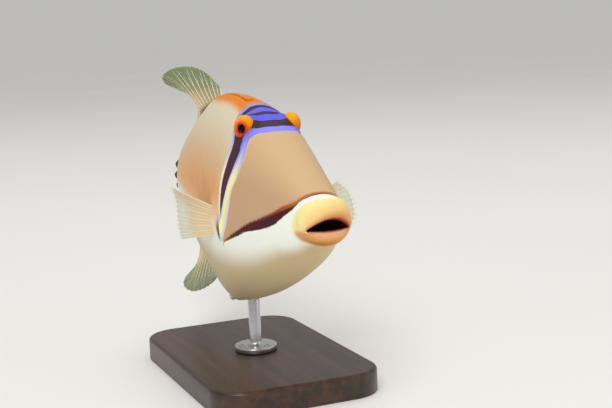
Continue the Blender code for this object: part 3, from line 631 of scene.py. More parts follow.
def soft_areas(points, runs, girth, round_m):
    """Soft-edged areas of colour, each from 0 to 1."""
    run = runs[:, None]
    girth = girth[None, :]
    side = np.abs(round_m) / STANDARD_LENGTH
    ones = np.ones_like(side)
    back_reach = along(((0.33, 0.085), (0.37, 0.072), (0.42, 0.066), (0.50, 0.062), (0.56, 0.050),
                        (0.60, 0.030)), run)
    vent = np.linalg.norm(points - place(VENT_BACK, 0.0, along(BELLY_LINE, VENT_BACK)), axis=2) / MM
    stalk_out = smooth(0.845, 0.915, run) * np.exp(-((girth - STALK_MIDDLE) / 0.40) ** 4)
    rows_dark = np.zeros_like(side)
    for start, up, _ in STALK_SPINE_ROWS:
        height = (points[..., 2] - MOUTH_HEIGHT - up * STANDARD_LENGTH) / MM
        rows_dark = np.maximum(rows_dark, bell(height, 0.0, 0.9) * smooth(start - 0.05, start + 0.02, run)
                               * smooth(0.985, 0.965, run))
    # The red of the mouth's edge is widest on the upper lip's left half. The red is the lip's own; its wider
    # reach on the left, the side in shade, is painted shade, and so is the extra peach of lip_warm there
    shaded_left = smooth(-12 * MM, 10 * MM, points[..., 0]) * smooth(0.62, 0.50, girth)
    red_from = -0.020 + 0.012 * shaded_left - 0.008 * smooth(0.56, 0.64, girth)
    red = smooth(red_from + 0.006, red_from - 0.012, run)
    deep_from = -0.026 + 0.010 * shaded_left
    # A thin crease runs on from each corner of the mouth; its dark red is painted shade in the crease
    crease = bell(girth, mouth_corner(run), 0.010 - 0.10 * (run + 0.03)) * smooth(0.030, -0.005, run)
    return {
        "back_orange": smooth(back_reach + 0.020, back_reach - 0.020, girth) * smooth(0.59, 0.53, run),
        "mouth_red": red,
        "mouth_deep_red": smooth(deep_from, deep_from - 0.013, run),
        "lip_warm": smooth(0.024, -0.016, run) * (0.60 + 0.40 * shaded_left),
        # The mouth's inside: its own red flesh, darkened with painted shade
        "mouth_red_in_shade": smooth(-0.026, -0.037, run) * ones,
        "lip_peach": smooth(0.55, 0.62, girth) * ones,
        # Painted highlight: paler pink where the lower lip bulges up just under the opening
        "lip_pink_highlight": bell(run, -0.026, 0.010) * smooth(0.60, 0.72, girth),
        # Painted shade: darker orange-brown along the lower lip's lower edge, where it turns under
        "lip_rim_shade": bell(run, along(EDGES["lip"], girth) - 0.020, 0.015) * smooth(0.64, 0.82, girth),
        # Painted shade in the creases at the mouth's corners
        "mouth_corner": crease,
        # Painted shadow: near-black deep in the mouth
        "throat": smooth(-0.034, -0.043, run) * ones,
        # Tan under the belly and chin: partly the belly's own beige, partly painted shade of the underside
        "under": smooth(0.60, 0.78, girth - 0.10 * smooth(0.14, 0.06, run) + 0.03 * smooth(0.2, 0.35, run)
                        ) * smooth(0.78, 0.56, run) * smooth(0.012, 0.045, run),
        "flank_tan": bell(girth, 0.40, 0.13) * smooth(0.32, 0.36, run) * smooth(0.90, 0.50, run),
        "flank_low": smooth(0.46, 0.58, girth + 0.05 * smooth(0.85, 1.0, run)) * ones,
        "fin_base": smooth(0.020, 0.012, side) * smooth(0.555, 0.585, run) * smooth(0.89, 0.85, run),
        "stalk": stalk_out,
        "tail_root": smooth(0.955, 0.995, run) * ones,
        "spine_lines": rows_dark,
        "vent_spot": smooth(7.0, 5.6, vent),
        "vent_ring": smooth(10.5, 8.5, vent),
        "pectoral_foot": np.exp(-((run - 0.362) / 0.024) ** 2 - ((girth - 0.50) / 0.08) ** 2),
        "gill_mark": np.exp(-((run - 0.341) / 0.0045) ** 4 - ((girth - 0.530) / 0.045) ** 4),
    }


# Sharp bands from the mouth to the tail: the edge in front of each, its colour on the back and on the flank,
# the girths between which the one turns into the other, and the edge's softness and raggedness in mm
SNOUT_TURN = (0.25, 0.42)
HEAD_TURN = (0.13, 0.30)
BANDS = (
    ("stripe_front", "#6A1A14", "#44081C", SNOUT_TURN, 0.30, 0.30),
    ("stripe_core", "#C8762A", "#8A3414", SNOUT_TURN, 0.40, 0.40),
    ("stripe_back", "#D9B68A", "#CDA784", HEAD_TURN, 0.50, 0.35),
    ("orange_line", "#E8C890", "#DFA850", HEAD_TURN, 0.30, 0.0),
    ("front_blue", "#9090F8", "#D9DDFF", HEAD_TURN, 0.22, 0.0),
    ("yellow", "#9090F8", "#FFFDAE", HEAD_TURN, 0.22, 0.0),
    ("thin_blue", "#7C7CFA", "#B9BEFF", HEAD_TURN, 0.18, 0.0),
    ("bar", "#422C37", "#4A2430", HEAD_TURN, 0.20, 0.12),
    ("violet", "#6462F4", "#6462F4", HEAD_TURN, 0.18, 0.0),
    ("bar_two", "#422C37", "#422C37", HEAD_TURN, 0.18, 0.12),
    ("blue_two", "#6A68F4", "#6A68F4", HEAD_TURN, 0.18, 0.0),
    ("bar_three", "#422C37", "#422C37", HEAD_TURN, 0.18, 0.12),
    ("lavender", "#9C98F6", "#FBF4D2", HEAD_TURN, 0.20, 0.0),
)
BAND_RAGGED = 4  # the noise reaches a quarter of its range either way
# Colours of the lips and the mouth's inside, laid over each other: (attribute, strength, colour). The
# orange-brown of the lower lip's rim, the dark red in the mouth's corner creases and the red's wider reach on
# the left half are painted shade; the dark red inside is the mouth's own red with painted shade; the
# near-black of the throat is painted shadow; and the pale pink under the opening is a painted highlight
LIP_LAYERS = (
    ("lip_warm", 1.0, "#FCC888"), ("lip_peach", 1.0, "#E6A868"), ("lip_rim_shade", 0.9, "#C87A30"),
    ("lip_pink_highlight", 0.8, "#F4C4A8"), ("mouth_red", 0.75, "#EE965A"), ("mouth_deep_red", 0.92, "#A8442A"),
    ("mouth_corner", 0.6, "#8A2A18"), ("mouth_red_in_shade", 1.0, "#7C1A12"), ("throat", 1.0, "#1A0206"),
)


def flank_paint(tree, lie, girth, clouds, belly):
    """Colours of the body behind the head, from the back down to the belly and back to the tail."""
    cloudy = add(tree, "ShaderNodeMath", {0: clouds, 1: 0.5}, operation="SUBTRACT")
    tone = add(tree, "ShaderNodeMath", {0: cloudy, 1: 0.10, 2: girth}, operation="MULTIPLY_ADD")
    paint = add(tree, "ShaderNodeValToRGB", {0: tone}, (
        (0.0, "#E0D4B8"), (0.12, "#E2D6BC"), (0.27, "#E0C49E"), (0.42, "#EEC088"), (0.52, "#E8D2AC"),
        (0.62, "#EDEEE0"), (1.0, "#E4DFC8")))
    # Brushed orange-brown patch over the pectoral fin, its strokes 1 mm wide and 9 mm long
    strokes = add(tree, "ShaderNodeMapping", {0: lie, 3: (900, 110, 500)})
    strokes = add(tree, "ShaderNodeTexNoise", {0: strokes, "Scale": 1.0, "Detail": 3.0, "Roughness": 0.6})
    strokes = add(tree, "ShaderNodeMapRange", {0: strokes, 1: 0.40, 2: 0.66})
    tan = add(tree, "ShaderNodeMath", {0: strokes, 1: 0.36, 2: 0.38}, operation="MULTIPLY_ADD")
    orange = add(tree, "ShaderNodeMix", {0: clouds, 6: "#EE911C", 7: "#E67E18"}, data_type="RGBA")
    stalk = layered(tree, "#D3DEF6", (("tail_root", 1.0, "#E6D8BC"),))
    return layered(tree, paint, (
        ("flank_tan", tan, "#E08C44"), ("flank_low", 1.0, belly), ("back_orange", 1.0, orange),
        ("fin_base", 0.85, FOOT_COLOUR), ("stalk", 0.9, stalk), ("spine_lines", 0.8, "#1C1418"),
        ("vent_ring", 1.0, "#D07A2C"), ("vent_spot", 1.0, "#140C0E"), ("pectoral_foot", 0.6, "#F0DCC8")))


def skin_material():
    """Wet fish skin: clear slime over matt, faintly translucent plates, so it shines softly all over."""
    made, tree, shader = new_material("wet_fish_skin")
    lie = add(tree, "ShaderNodeAttribute", attribute_name="lie").outputs["Vector"]
    girth = add(tree, "ShaderNodeAttribute", attribute_name="girth").outputs["Fac"]
    # Hairline strokes across the stripes' edges, 0.5 mm wide and 2.5 mm long
    strokes = add(tree, "ShaderNodeMapping", {0: lie, 3: (2000, 420, 1000)})
    ragged = add(tree, "ShaderNodeTexNoise", {0: strokes, "Scale": 1.0, "Detail": 2.0, "Roughness": 0.6})
    ragged = add(tree, "ShaderNodeMath", {0: ragged, 1: 0.5}, operation="SUBTRACT")
    # Cloudy tone, 12 mm across, and fine speckle, 0.6 mm across
    clouds = add(tree, "ShaderNodeTexNoise", {0: lie, "Scale": 80.0, "Detail": 3.0, "Roughness": 0.55})
    speckle = add(tree, "ShaderNodeTexNoise", {0: lie, "Scale": 1600.0, "Detail": 2.0, "Roughness": 0.6})
    # White belly; its tan underneath is partly its own beige, partly painted shade of the underside
    belly = layered(tree, "#FBFFF4", (("under", 1.0, "#D6C096"),))

    # From the mouth towards the tail: past its edge each band covers what lies in front of it
    bands = [("lip", belly, 1.3, 0.3)]
    for edge, on_back, on_flank, (low, high), soft, rag in BANDS:
        turned_by = add(tree, "ShaderNodeMapRange", {0: girth, 1: low, 2: high})
        band = add(tree, "ShaderNodeMix", {0: turned_by, 6: on_back, 7: on_flank}, data_type="RGBA")
        bands.append((edge, band, soft, rag))
    bands.append(("flank", flank_paint(tree, lie, girth, clouds, belly), 0.30, 0.0))
    paint = layered(tree, "#FFF4A4", LIP_LAYERS)
    for edge, band, soft, rag in bands:
        away = add(tree, "ShaderNodeAttribute", attribute_name="edge_" + edge).outputs["Fac"]
        shift = add(tree, "ShaderNodeMath", {0: ragged, 1: rag * BAND_RAGGED}, operation="MULTIPLY")
        away = add(tree, "ShaderNodeMath", {0: away, 1: 1 / MM, 2: shift}, operation="MULTIPLY_ADD")
        passed = add(tree, "ShaderNodeMapRange", {0: away, 1: -soft, 2: soft},
                     interpolation_type="SMOOTHSTEP")
        paint = add(tree, "ShaderNodeMix", {0: passed, 6: paint, 7: band}, data_type="RGBA")
    paint = layered(tree, paint, (("gill_mark", 0.9, "#3A1018"),))
    dark = add(tree, "ShaderNodeMath", {0: speckle, 1: 0.42}, operation="SUBTRACT")
    dark = add(tree, "ShaderNodeMath", {0: dark, 1: 0.22}, operation="MULTIPLY")
    paint = add(tree, "ShaderNodeMix", {0: dark, 6: paint, 7: "#7A5C40"}, data_type="RGBA")
    grain = add(tree, "ShaderNodeBump", {"Height": speckle, "Strength": 0.10, "Distance": 0.10 * MM})
    fill(tree, shader, {
        "Base Color": paint, "Normal": grain, "Roughness": 0.50, "Specular IOR Level": 0.12,
        "Subsurface Weight": 0.12, "Subsurface Radius": (1.0, 0.45, 0.25), "Subsurface Scale": 1.2 * MM,
        "Coat Weight": 0.03, "Coat Roughness": 0.25})
    return made


def make_skin():
    points, runs = skin_grid()
    normals = grid_normals(points)
    flank_row = len(runs) // 2
    if normals[flank_row, COLUMNS // 4, 0] < 0:
        normals = -normals
    column = np.arange(COLUMNS)
    girth = np.where(column <= COLUMNS // 2, column, COLUMNS - column) * 2 / COLUMNS
    run_m, round_m = skin_places(points, runs)
    fields = {"edge_" + name: edge_distance(line, points, runs, girth) for name, line in EDGES.items()}
    fields.update(soft_areas(points, runs, girth, round_m))
    fields["girth"] = np.repeat(girth[None, :], len(runs), axis=0)
    points = points + normals * relief(points, normals, runs, girth[None, :], run_m, round_m)[..., None]
    made = make_piece("skin", points.reshape(-1, 3), tube_faces(len(runs), COLUMNS), skin_material(),
                      ("head", "torso", "tail_stalk", "lips"))
    for name, values in fields.items():
        set_field(made.data, name, np.broadcast_to(values, points.shape[:2]))
    set_vectors(made.data, "lie", np.stack([run_m, round_m, 0 * run_m], axis=2))
    return made


# Eyes


TURRET_ROWS = 44
EYE_SIDES = 64
HOLE = 1.30 * PUPIL_ANGLE  # the skin of the turret ends this far from the gaze
HOLE_AT = 0.22  # what from_gaze says at the hole; it is 1 at the back of the turret
# Folded-in edge of the hole, as (distance, share of the hole's angle), and the way to the turret's inside
HOLE_EDGE = ((0.995, 0.965), (0.955, 0.96), (0.86, 0.98))
TURRET_INSIDE = ((0.70, 0.38), (0.68, 0.02))
# Iris, as (height, share of its width): its rim, over the coloured ring and down into the pupil
IRIS = ((0.74, 0.97), (0.855, 1.0), (0.885, 0.90), (0.865, 0.78), (0.850, 0.72), (0.805, 0.66), (0.775, 0.40),
        (0.775, 0.05))
CORNEA_OUTSIDE = 1.03
CORNEA_INSIDE = 0.985


def eye_ball_material():
    """Skin of the eye turret: yellow, turned red-orange towards its bottom by painted shade, with tiny red
    dots; wet, so its gloss is sharp.
    """
    made, tree, shader = new_material("wet_orange_eye_skin")
    from_gaze = add(tree, "ShaderNodeAttribute", attribute_name="from_gaze").outputs["Fac"]
    shade = add(tree, "ShaderNodeValToRGB", {0: from_gaze}, (
        (HOLE_AT, "#EE5004"), (0.255, "#F87A04"), (0.31, "#FFA202"), (0.50, "#FFB202"), (1.0, "#FFAA04")))
    # Painted shade: the turret turns red-orange towards its bottom, following the attribute height
    height = add(tree, "ShaderNodeAttribute", attribute_name="height").outputs["Fac"]
    lower = add(tree, "ShaderNodeMapRange", {0: height, 1: 0.75, 2: -0.55, 3: 0.0, 4: 0.95})
    shade = add(tree, "ShaderNodeMix", {0: lower, 6: shade, 7: "#E84402"}, data_type="RGBA")
    where = add(tree, "ShaderNodeTexCoord").outputs["Object"]
    # Dots 0.35 mm across, about 1 mm apart
    dots = add(tree, "ShaderNodeTexVoronoi", {"Vector": where, "Scale": 1100.0}).outputs["Distance"]
    dotted = add(tree, "ShaderNodeMapRange", {0: dots, 1: 0.30, 2: 0.16, 3: 0.0, 4: 0.5})
    paint = add(tree, "ShaderNodeMix", {0: dotted, 6: shade, 7: "#D8320A"}, data_type="RGBA")
    bump = add(tree, "ShaderNodeBump", {"Height": dots, "Strength": 0.25, "Distance": 0.1 * MM})
    fill(tree, shader, {"Base Color": paint, "Normal": bump, "Roughness": 0.40, "Specular IOR Level": 0.10,
                        "Coat Weight": 0.05, "Coat Roughness": 0.12})
    return made


def iris_material():
    """Iris: matt flesh with fine spokes round the black of the pupil."""
    made, tree, shader = new_material("eye_iris")
    spoke = add(tree, "ShaderNodeAttribute", attribute_name="spoke").outputs["Vector"]
    spokes = add(tree, "ShaderNodeTexNoise", {0: spoke, "Scale": 14.0, "Detail": 3.0})
    out = add(tree, "ShaderNodeAttribute", attribute_name="from_gaze").outputs["Fac"]
    shade = add(tree, "ShaderNodeValToRGB", {0: out}, (
        (0.0, "#000000"), (0.71, "#030001"), (0.78, "#D02802"), (0.90, "#F45204"), (1.0, "#FA7E08")))
    ringed = add(tree, "ShaderNodeMapRange", {0: out, 1: 0.74, 2: 0.80, 3: 0.0, 4: 0.4})
    spoked = add(tree, "ShaderNodeMath", {0: spokes, 1: ringed}, operation="MULTIPLY")
    paint = add(tree, "ShaderNodeMix", {0: spoked, 6: shade, 7: "#8A1402"}, data_type="RGBA")
    fill(tree, shader, {"Base Color": paint, "Roughness": 0.5, "Specular IOR Level": 0.1})
    return made


def cornea_material():
    """Cornea: clear, wet and smooth. Its low IOR is that of a cornea seen under water."""
    made, tree, shader = new_material("clear_cornea")
    fill(tree, shader, {"Base Color": "#FFFFFF", "Transmission Weight": 1.0, "IOR": 1.14, "Roughness": 0.02})
    return made


def eye_middle(side):
    return place(EYE_BACK, side * EYE_OUT, EYE_UP) + EYE_SHIFT[side]


def make_eye(name, side, skin_finish, iris_finish, cornea_finish):
    """Turret of skin with a round hole, the iris and the pit of the pupil sunk in it, and a clear cornea."""
    radius = EYE_RADIUS * STANDARD_LENGTH
    middle = eye_middle(side)
    forward = GAZE_FORWARD[name]
    gaze = Vector((side * math.cos(forward), -math.sin(forward), 0))

    def piece(part, profile, finish, replaces=()):
        sized = [(radius * far, radius * out) for far, out in profile]
        rings = np.array(turned(sized, EYE_SIDES, (0, 0, 0), gaze)) * EYE_STRETCH[side] + middle
        return make_piece("eye_" + name + "_" + part, rings.reshape(-1, 3),
                          tube_faces(len(profile), EYE_SIDES), finish, replaces)

    def cap(far, angles):
        return [(far * math.cos(a), far * math.sin(a)) for a in angles]

    edge = [(far * math.cos(HOLE * turn), far * math.sin(HOLE * turn)) for far, turn in HOLE_EDGE]
    profile = cap(1, np.linspace(math.radians(176), HOLE, TURRET_ROWS)) + edge + list(TURRET_INSIDE)
    ball = piece("ball", profile, skin_finish, ("eye_" + name,))
    from_gaze = np.full(len(profile), HOLE_AT)
    from_gaze[:TURRET_ROWS] = np.linspace(1, HOLE_AT, TURRET_ROWS)
    set_field(ball.data, "from_gaze", np.repeat(from_gaze, EYE_SIDES))
    # height carries the painted shade at the turret's bottom
    set_field(ball.data, "height", [(v.co.z - middle[2]) / radius for v in ball.data.vertices])

    inner = math.sin(HOLE) * 0.965
    iris = piece("iris", [(far, inner * out) for far, out in IRIS], iris_finish)
    outs = [1.0] + [out for _, out in IRIS[1:]]
    set_field(iris.data, "from_gaze", np.repeat(outs, EYE_SIDES))
    spokes = [(2 * math.cos(a), 2 * math.sin(a), 0.25 * out)
              for out in outs for a in 2 * np.pi * np.arange(EYE_SIDES) / EYE_SIDES]
    set_vectors(iris.data, "spoke", spokes)

    bow = np.linspace(0.02, HOLE * 0.96, 12)
    piece("cornea", cap(CORNEA_OUTSIDE, bow) + cap(CORNEA_INSIDE, bow[::-1]), cornea_finish)


# Fins

FOOT_COLOUR = "#7A2A24"  # the maroon line along the foot of the soft dorsal fin
FOOT_END = 0.17
MEMBRANE_HALF = (0.16 * MM, 0.08 * MM)  # at the root and at the tip
PLEAT = 0.12 * MM
GAP_COLUMNS = 6  # of the membrane's grid, between two rays
MEMBRANE_ROWS = 26
RAY_RADIUS = (0.45 * MM, 0.15 * MM)
STEM_POINTS = 12
BRANCH_POINTS = 8
ROD_SIDES = 8
FORK_AT = (0.50, 0.76)  # where along a ray it forks, and forks again
FORK_SPREAD = (0.17, 0.085)  # half the way between twin branches, in ray spacings


def reach(tips, s):
    return along([(at, np.array(offset)) for at, offset in tips], s)


def median_point(fin, edge_line, upward):
    def point(s, t):
        s, t = np.broadcast_arrays(np.asarray(s, float), t)
        root = fin["start"] + (fin["end"] - fin["start"]) * s
        half = fin["middle_at"]
        middle, tip = reach(fin["middles"], s), reach(fin["tips"], s)
        leaving = (middle - half**2 * tip) / (half - half**2)
        back, left, up = np.moveaxis(leaving * t[..., None] + (tip - leaving) * t[..., None] ** 2, -1, 0)
        return place(root + back, left, along(edge_line, root) + upward * (up - ROOT_SUNK * (1 - t)))
    return point


def tail_point(s, t):
    turn = TAIL_SPREAD * (2 * s - 1)
    length = along(TAIL_LENGTH, s) + ROOT_SUNK
    back = TAIL_ROOT - ROOT_SUNK + length * t * np.cos(turn * 0.6)
    return place(back, 0.0 * back, TAIL_HALF_BASE * (2 * s - 1) + length * t * np.sin(turn))


def pectoral_point(name, side):
    def point(s, t):
        s, t = np.broadcast_arrays(np.asarray(s, float), t)
        back, out, up = np.moveaxis(reach(PECTORAL_TIPS[name], s), -1, 0)
        root_back = PECTORAL_BASE[0] + 0.008 * (s - 0.5)
        root_up = PECTORAL_BASE[1] + PECTORAL_BASE_HALF * (1 - 2 * s)
        bow = 0.010 * t * (1 - t)
        wide = np.vectorize(flank)(root_back, root_up)
        return place(root_back + back * t - bow, side * (wide + out * t + bow - ROOT_SUNK * (1 - t)),
                     root_up + up * t)
    return point


def sheet_normal(point, s, t):
    tiny = 1e-3
    across = point(np.minimum(1, s + tiny), t) - point(np.maximum(0, s - tiny), t)
    outward = point(s, t + tiny) - point(s, t - tiny)
    return unit(np.cross(across, outward))


def membrane(name, point, rays, finish, replaces, start, milky, ends_at):
    """Thin closed sheet, pleated and set back between its rays.

    milky(s, t) says how thick and pale its skin is.
    """
    rows = MEMBRANE_ROWS
    columns = (rays - 1) * GAP_COLUMNS + 1
    s = np.linspace(0, 1, columns)
    off_ray = np.sin(np.pi * ((s * (rays - 1)) % 1.0)) ** 2
    reach_to = ends_at - 0.014 * off_ray
    t = start + (reach_to[:, None] - start) * np.linspace(0, 1, rows)[None, :]
    s_grid = np.repeat(s[:, None], rows, axis=1)
    middle = point(s_grid, t)
    normal = sheet_normal(point, s_grid, t)
    to_and_fro = np.where((np.floor(s * (rays - 1)) % 2)[:, None] > 0, 1, -1)
    pleat = PLEAT * off_ray[:, None] * np.sin(np.pi * np.clip(t, 0, 1)) * to_and_fro
    half = MEMBRANE_HALF[0] + (MEMBRANE_HALF[1] - MEMBRANE_HALF[0]) * t
    half = half * np.where(np.arange(rows) == rows - 1, 0.4, 1.0)[None, :]
    front = middle + normal * (pleat + half)[..., None]
    back = middle + normal * (pleat - half)[..., None]
    total = columns * rows
    faces = []
    for c in range(columns - 1):
        for r in range(rows - 1):
            a, b = c * rows + r, (c + 1) * rows + r
            faces.append((a, b, b + 1, a + 1))
            faces.append((total + a, total + a + 1, total + b + 1, total + b))
    rim = [c * rows for c in range(columns)] + [(columns - 1) * rows + r for r in range(1, rows)]
    rim += [c * rows + rows - 1 for c in reversed(range(columns - 1))] + list(reversed(range(1, rows - 1)))
    for here, after in zip(rim, rim[1:] + rim[:1]):
        faces.append((after, here, total + here, total + after))
    points = np.concatenate([front.reshape(-1, 3), back.reshape(-1, 3)])
    made = make_piece(name, points, faces, finish, replaces)
    set_field(made.data, "out", np.tile(t.ravel(), 2))
    set_field(made.data, "milky", np.tile(milky(s_grid, t).ravel(), 2))
    if name == "soft_dorsal_membrane":
        set_field(made.data, "foot", np.tile(smooth(FOOT_END, FOOT_END * 0.8, t).ravel(), 2))
    return made


def ray_lines(point, rays, start, tips=1.0):
    """Each ray as a stem that forks twice: its lines, with the radius and the way out at their points."""
    lines = []
    gap = 1 / (rays - 1)

    def radius(t):
        return RAY_RADIUS[0] + (RAY_RADIUS[1] - RAY_RADIUS[0]) * smooth(0, 1, t) ** 0.8

    for ray in range(rays):
        s0 = ray * gap
        inward = 1 if ray == 0 else -1 if ray == rays - 1 else 0
        stem = np.linspace(start, FORK_AT[0], STEM_POINTS)
        lines.append((np.full(STEM_POINTS, s0), stem, radius(stem)))
        for first in (-1, 1):
            t = np.linspace(FORK_AT[0], FORK_AT[1], BRANCH_POINTS)
            s = s0 + gap * FORK_SPREAD[0] * (first + inward) * smooth(FORK_AT[0], FORK_AT[1], t)
            lines.append((s, t, radius(t) * 0.80))
            for second in (-1, 1):
                wave = 0.012 * math.sin(ray * 2.4 + first * 1.3 + second * 0.7)
                t = np.linspace(FORK_AT[1], tips - 0.012 + wave, BRANCH_POINTS)
                turn = smooth(FORK_AT[1], tips, t)
                s = s0 + gap * (FORK_SPREAD[0] * (first + inward) + FORK_SPREAD[1] * second * turn)
                lines.append((s, t, radius(t) * np.linspace(0.72, 0.5, BRANCH_POINTS)))
    return [(point(np.clip(s, 0, 1), t), thick, t) for s, t, thick in lines]


def new_tree(name, inputs):
    """A tree that takes and gives geometry; inputs are (name, kind) of its named inputs."""
    tree = bpy.data.node_groups.new(name, "GeometryNodeTree")
    tree.interface.new_socket("Geometry", in_out="INPUT", socket_type="NodeSocketGeometry")
    for label, kind in inputs:
        tree.interface.new_socket(label, in_out="INPUT", socket_type="NodeSocket" + kind)
    tree.interface.new_socket("Geometry", in_out="OUTPUT", socket_type="NodeSocketGeometry")
    return tree, add(tree, "NodeGroupInput").outputs


def end_tree(tree, shape, finish):
    real = add(tree, "GeometryNodeRealizeInstances", {"Geometry": shape})
    painted = add(tree, "GeometryNodeSetMaterial", {"Geometry": real, "Material": finish})
    add(tree, "NodeGroupOutput", {"Geometry": painted})
    return tree


def rod_tree():
    """Turns lines of points into round rods as thick as the attribute thick says."""
    tree, given = new_tree("tapered_rods", (("Sides", "Int"), ("Thickness", "Float"), ("Finish", "Material")))
    thick = add(tree, "GeometryNodeInputNamedAttribute", {"Name": "thick"}, data_type="FLOAT")
    lines = add(tree, "GeometryNodeMeshToCurve", {"Mesh": given["Geometry"]})
    circle = add(tree, "GeometryNodeCurvePrimitiveCircle", {"Resolution": given["Sides"], "Radius": 1.0})
    scale = add(tree, "ShaderNodeMath", {0: thick, 1: given["Thickness"]}, operation="MULTIPLY")
    rods = add(tree, "GeometryNodeCurveToMesh", {
        "Curve": lines, "Profile Curve": circle, "Scale": scale, "Fill Caps": True})
    return end_tree(tree, add(tree, "GeometryNodeSetShadeSmooth", {"Geometry": rods}), given["Finish"])


def thorn_tree():
    """Stands a hooked thorn on each point, turned by the attribute turn and scaled by the attribute size."""
    tree, given = new_tree("hooked_spines", (("Height", "Float"), ("Radius", "Float"), ("Lean", "Float"),
                                             ("Sides", "Int"), ("Finish", "Material")))
    sunk, knee, lean = (
        add(tree, "ShaderNodeMath", {0: given["Height"], 1: share}, operation="MULTIPLY")
        for share in (-0.5, 0.8, given["Lean"]))
    line = add(tree, "GeometryNodeCurveQuadraticBezier", {
        "Resolution": 6,
        "Start": add(tree, "ShaderNodeCombineXYZ", {2: sunk}),
        "Middle": add(tree, "ShaderNodeCombineXYZ", {2: knee}),
        "End": add(tree, "ShaderNodeCombineXYZ", {0: lean, 2: given["Height"]})})
    taper = add(tree, "ShaderNodeMapRange", {0: add(tree, "GeometryNodeSplineParameter"), 3: 1.0, 4: 0.08})
    circle = add(tree, "GeometryNodeCurvePrimitiveCircle", {"Resolution": given["Sides"], "Radius": 1.0})
    scale = add(tree, "ShaderNodeMath", {0: taper, 1: given["Radius"]}, operation="MULTIPLY")
    thorn = add(tree, "GeometryNodeCurveToMesh", {
        "Curve": line, "Profile Curve": circle, "Scale": scale, "Fill Caps": True})
    turn = add(tree, "GeometryNodeInputNamedAttribute", {"Name": "turn"}, data_type="FLOAT_VECTOR")
    size = add(tree, "GeometryNodeInputNamedAttribute", {"Name": "size"}, data_type="FLOAT")
    stood = add(tree, "GeometryNodeInstanceOnPoints", {
        "Points": given["Geometry"], "Instance": add(tree, "GeometryNodeSetShadeSmooth", {"Geometry": thorn}),
        "Rotation": add(tree, "FunctionNodeEulerToRotation", {0: turn}), "Scale": size})
    return end_tree(tree, stood, given["Finish"])


def screw_tree():
    """Sets a low socket-head screw on each point."""
    tree, given = new_tree("socket_screws", (
        ("Radius", "Float"), ("Height", "Float"), ("Finish", "Material")))
    radius, height = given["Radius"], given["Height"]
    key_radius = add(tree, "ShaderNodeMath", {0: radius, 1: 0.5}, operation="MULTIPLY")
    key_lift = add(tree, "ShaderNodeMath", {0: height, 1: 0.4}, operation="MULTIPLY")
    head = add(tree, "GeometryNodeMeshCylinder", {"Vertices": 32, "Radius": radius, "Depth": height})
    key = add(tree, "GeometryNodeMeshCylinder", {"Vertices": 6, "Radius": key_radius, "Depth": height})
    raised = add(tree, "GeometryNodeTransform", {
        "Geometry": key, "Translation": add(tree, "ShaderNodeCombineXYZ", {2: key_lift})})
    bored = add(tree, "GeometryNodeMeshBoolean", {"Mesh 1": head, "Mesh 2": raised}, operation="DIFFERENCE")
    stood = add(tree, "GeometryNodeInstanceOnPoints", {"Points": given["Geometry"], "Instance": bored})
    return end_tree(tree, stood, given["Finish"])


def grown(name, mesh, tree, values, replaces=()):
    """Runs a node tree on a mesh and keeps the result as a plain mesh piece."""
    source = bpy.data.objects.new(name + "_source", mesh)
    bpy.context.scene.collection.objects.link(source)
    modifier = source.modifiers.new("grow", "NODES")
    modifier.node_group = tree
    for socket in tree.interface.items_tree:
        if socket.in_out == "INPUT" and socket.name in values:
            modifier[socket.identifier] = values[socket.name]
    bpy.context.view_layer.update()
    made_mesh = bpy.data.meshes.new_from_object(source.evaluated_get(bpy.context.evaluated_depsgraph_get()))
    source.modifiers.remove(modifier)
    bpy.data.objects.remove(source)
    made_mesh.name = name
    made = bpy.data.objects.new(name, made_mesh)
    bpy.context.scene.collection.objects.link(made)
    return settle(made, replaces)


def rods_piece(name, lines, tree, finish, thickness=1.0):
    """Rods along lines given as (points, thickness, way out) at each point."""
    points, edges, thick, out = [], [], [], []
    for line, radius, share in lines:
        first = len(points)
        points += np.asarray(line).tolist()
        thick += list(radius)
        out += list(share)
        edges += [(first + i, first + i + 1) for i in range(len(line) - 1)]
    mesh = bpy.data.meshes.new(name)
    mesh.from_pydata(points, edges, [])
    set_field(mesh, "thick", thick)
    set_field(mesh, "out", out)
    if name == "soft_dorsal_rays":
        set_field(mesh, "foot", smooth(FOOT_END, FOOT_END * 0.8, np.array(out)))
    return grown(name, mesh, tree, {"Sides": ROD_SIDES, "Thickness": thickness, "Finish": finish})


def thorns_piece(name, thorns, tree, values):
    """Thorns given as (foot, way out of the skin, way they lean, size)."""
    mesh = bpy.data.meshes.new(name)
    mesh.from_pydata([foot for foot, _, _, _ in thorns], [], [])
    turns = []
    for _, out, lean, _ in thorns:
        out = Vector(out).normalized()
        lean = Vector(lean)
        lean = (lean - out * lean.dot(out)).normalized()
        turns.append(Matrix((lean, out.cross(lean), out)).transposed().to_euler())
    set_vectors(mesh, "turn", turns)
    set_field(mesh, "size", [size for _, _, _, size in thorns])
    return grown(name, mesh, tree, values)


def ray_material():
    """Fin ray: creamy, half-clear bone of many short joints under thin skin."""
    made, tree, shader = new_material("fin_ray_bone")
    where = add(tree, "ShaderNodeTexCoord").outputs["Object"]
    out = add(tree, "ShaderNodeAttribute", attribute_name="out").outputs["Fac"]
    # Joints about 1.2 mm apart show as faint bands
    bands = add(tree, "ShaderNodeTexNoise", {0: where, "Scale": 700.0, "Detail": 2.0})
    shade = add(tree, "ShaderNodeValToRGB", {0: out}, (
        (0.15, "#F6E6C4"), (0.60, "#F4EAC0"), (0.95, "#E6E4B4")))
    faint = add(tree, "ShaderNodeMath", {0: bands, 1: 0.35}, operation="MULTIPLY")
    paint = add(tree, "ShaderNodeMix", {0: faint, 6: shade, 7: "#CDB47A"}, data_type="RGBA")
    paint = layered(tree, paint, (("foot", 1.0, FOOT_COLOUR),))
    fill(tree, shader, {"Base Color": paint, "Roughness": 0.45, "Specular IOR Level": 0.25})
    return made


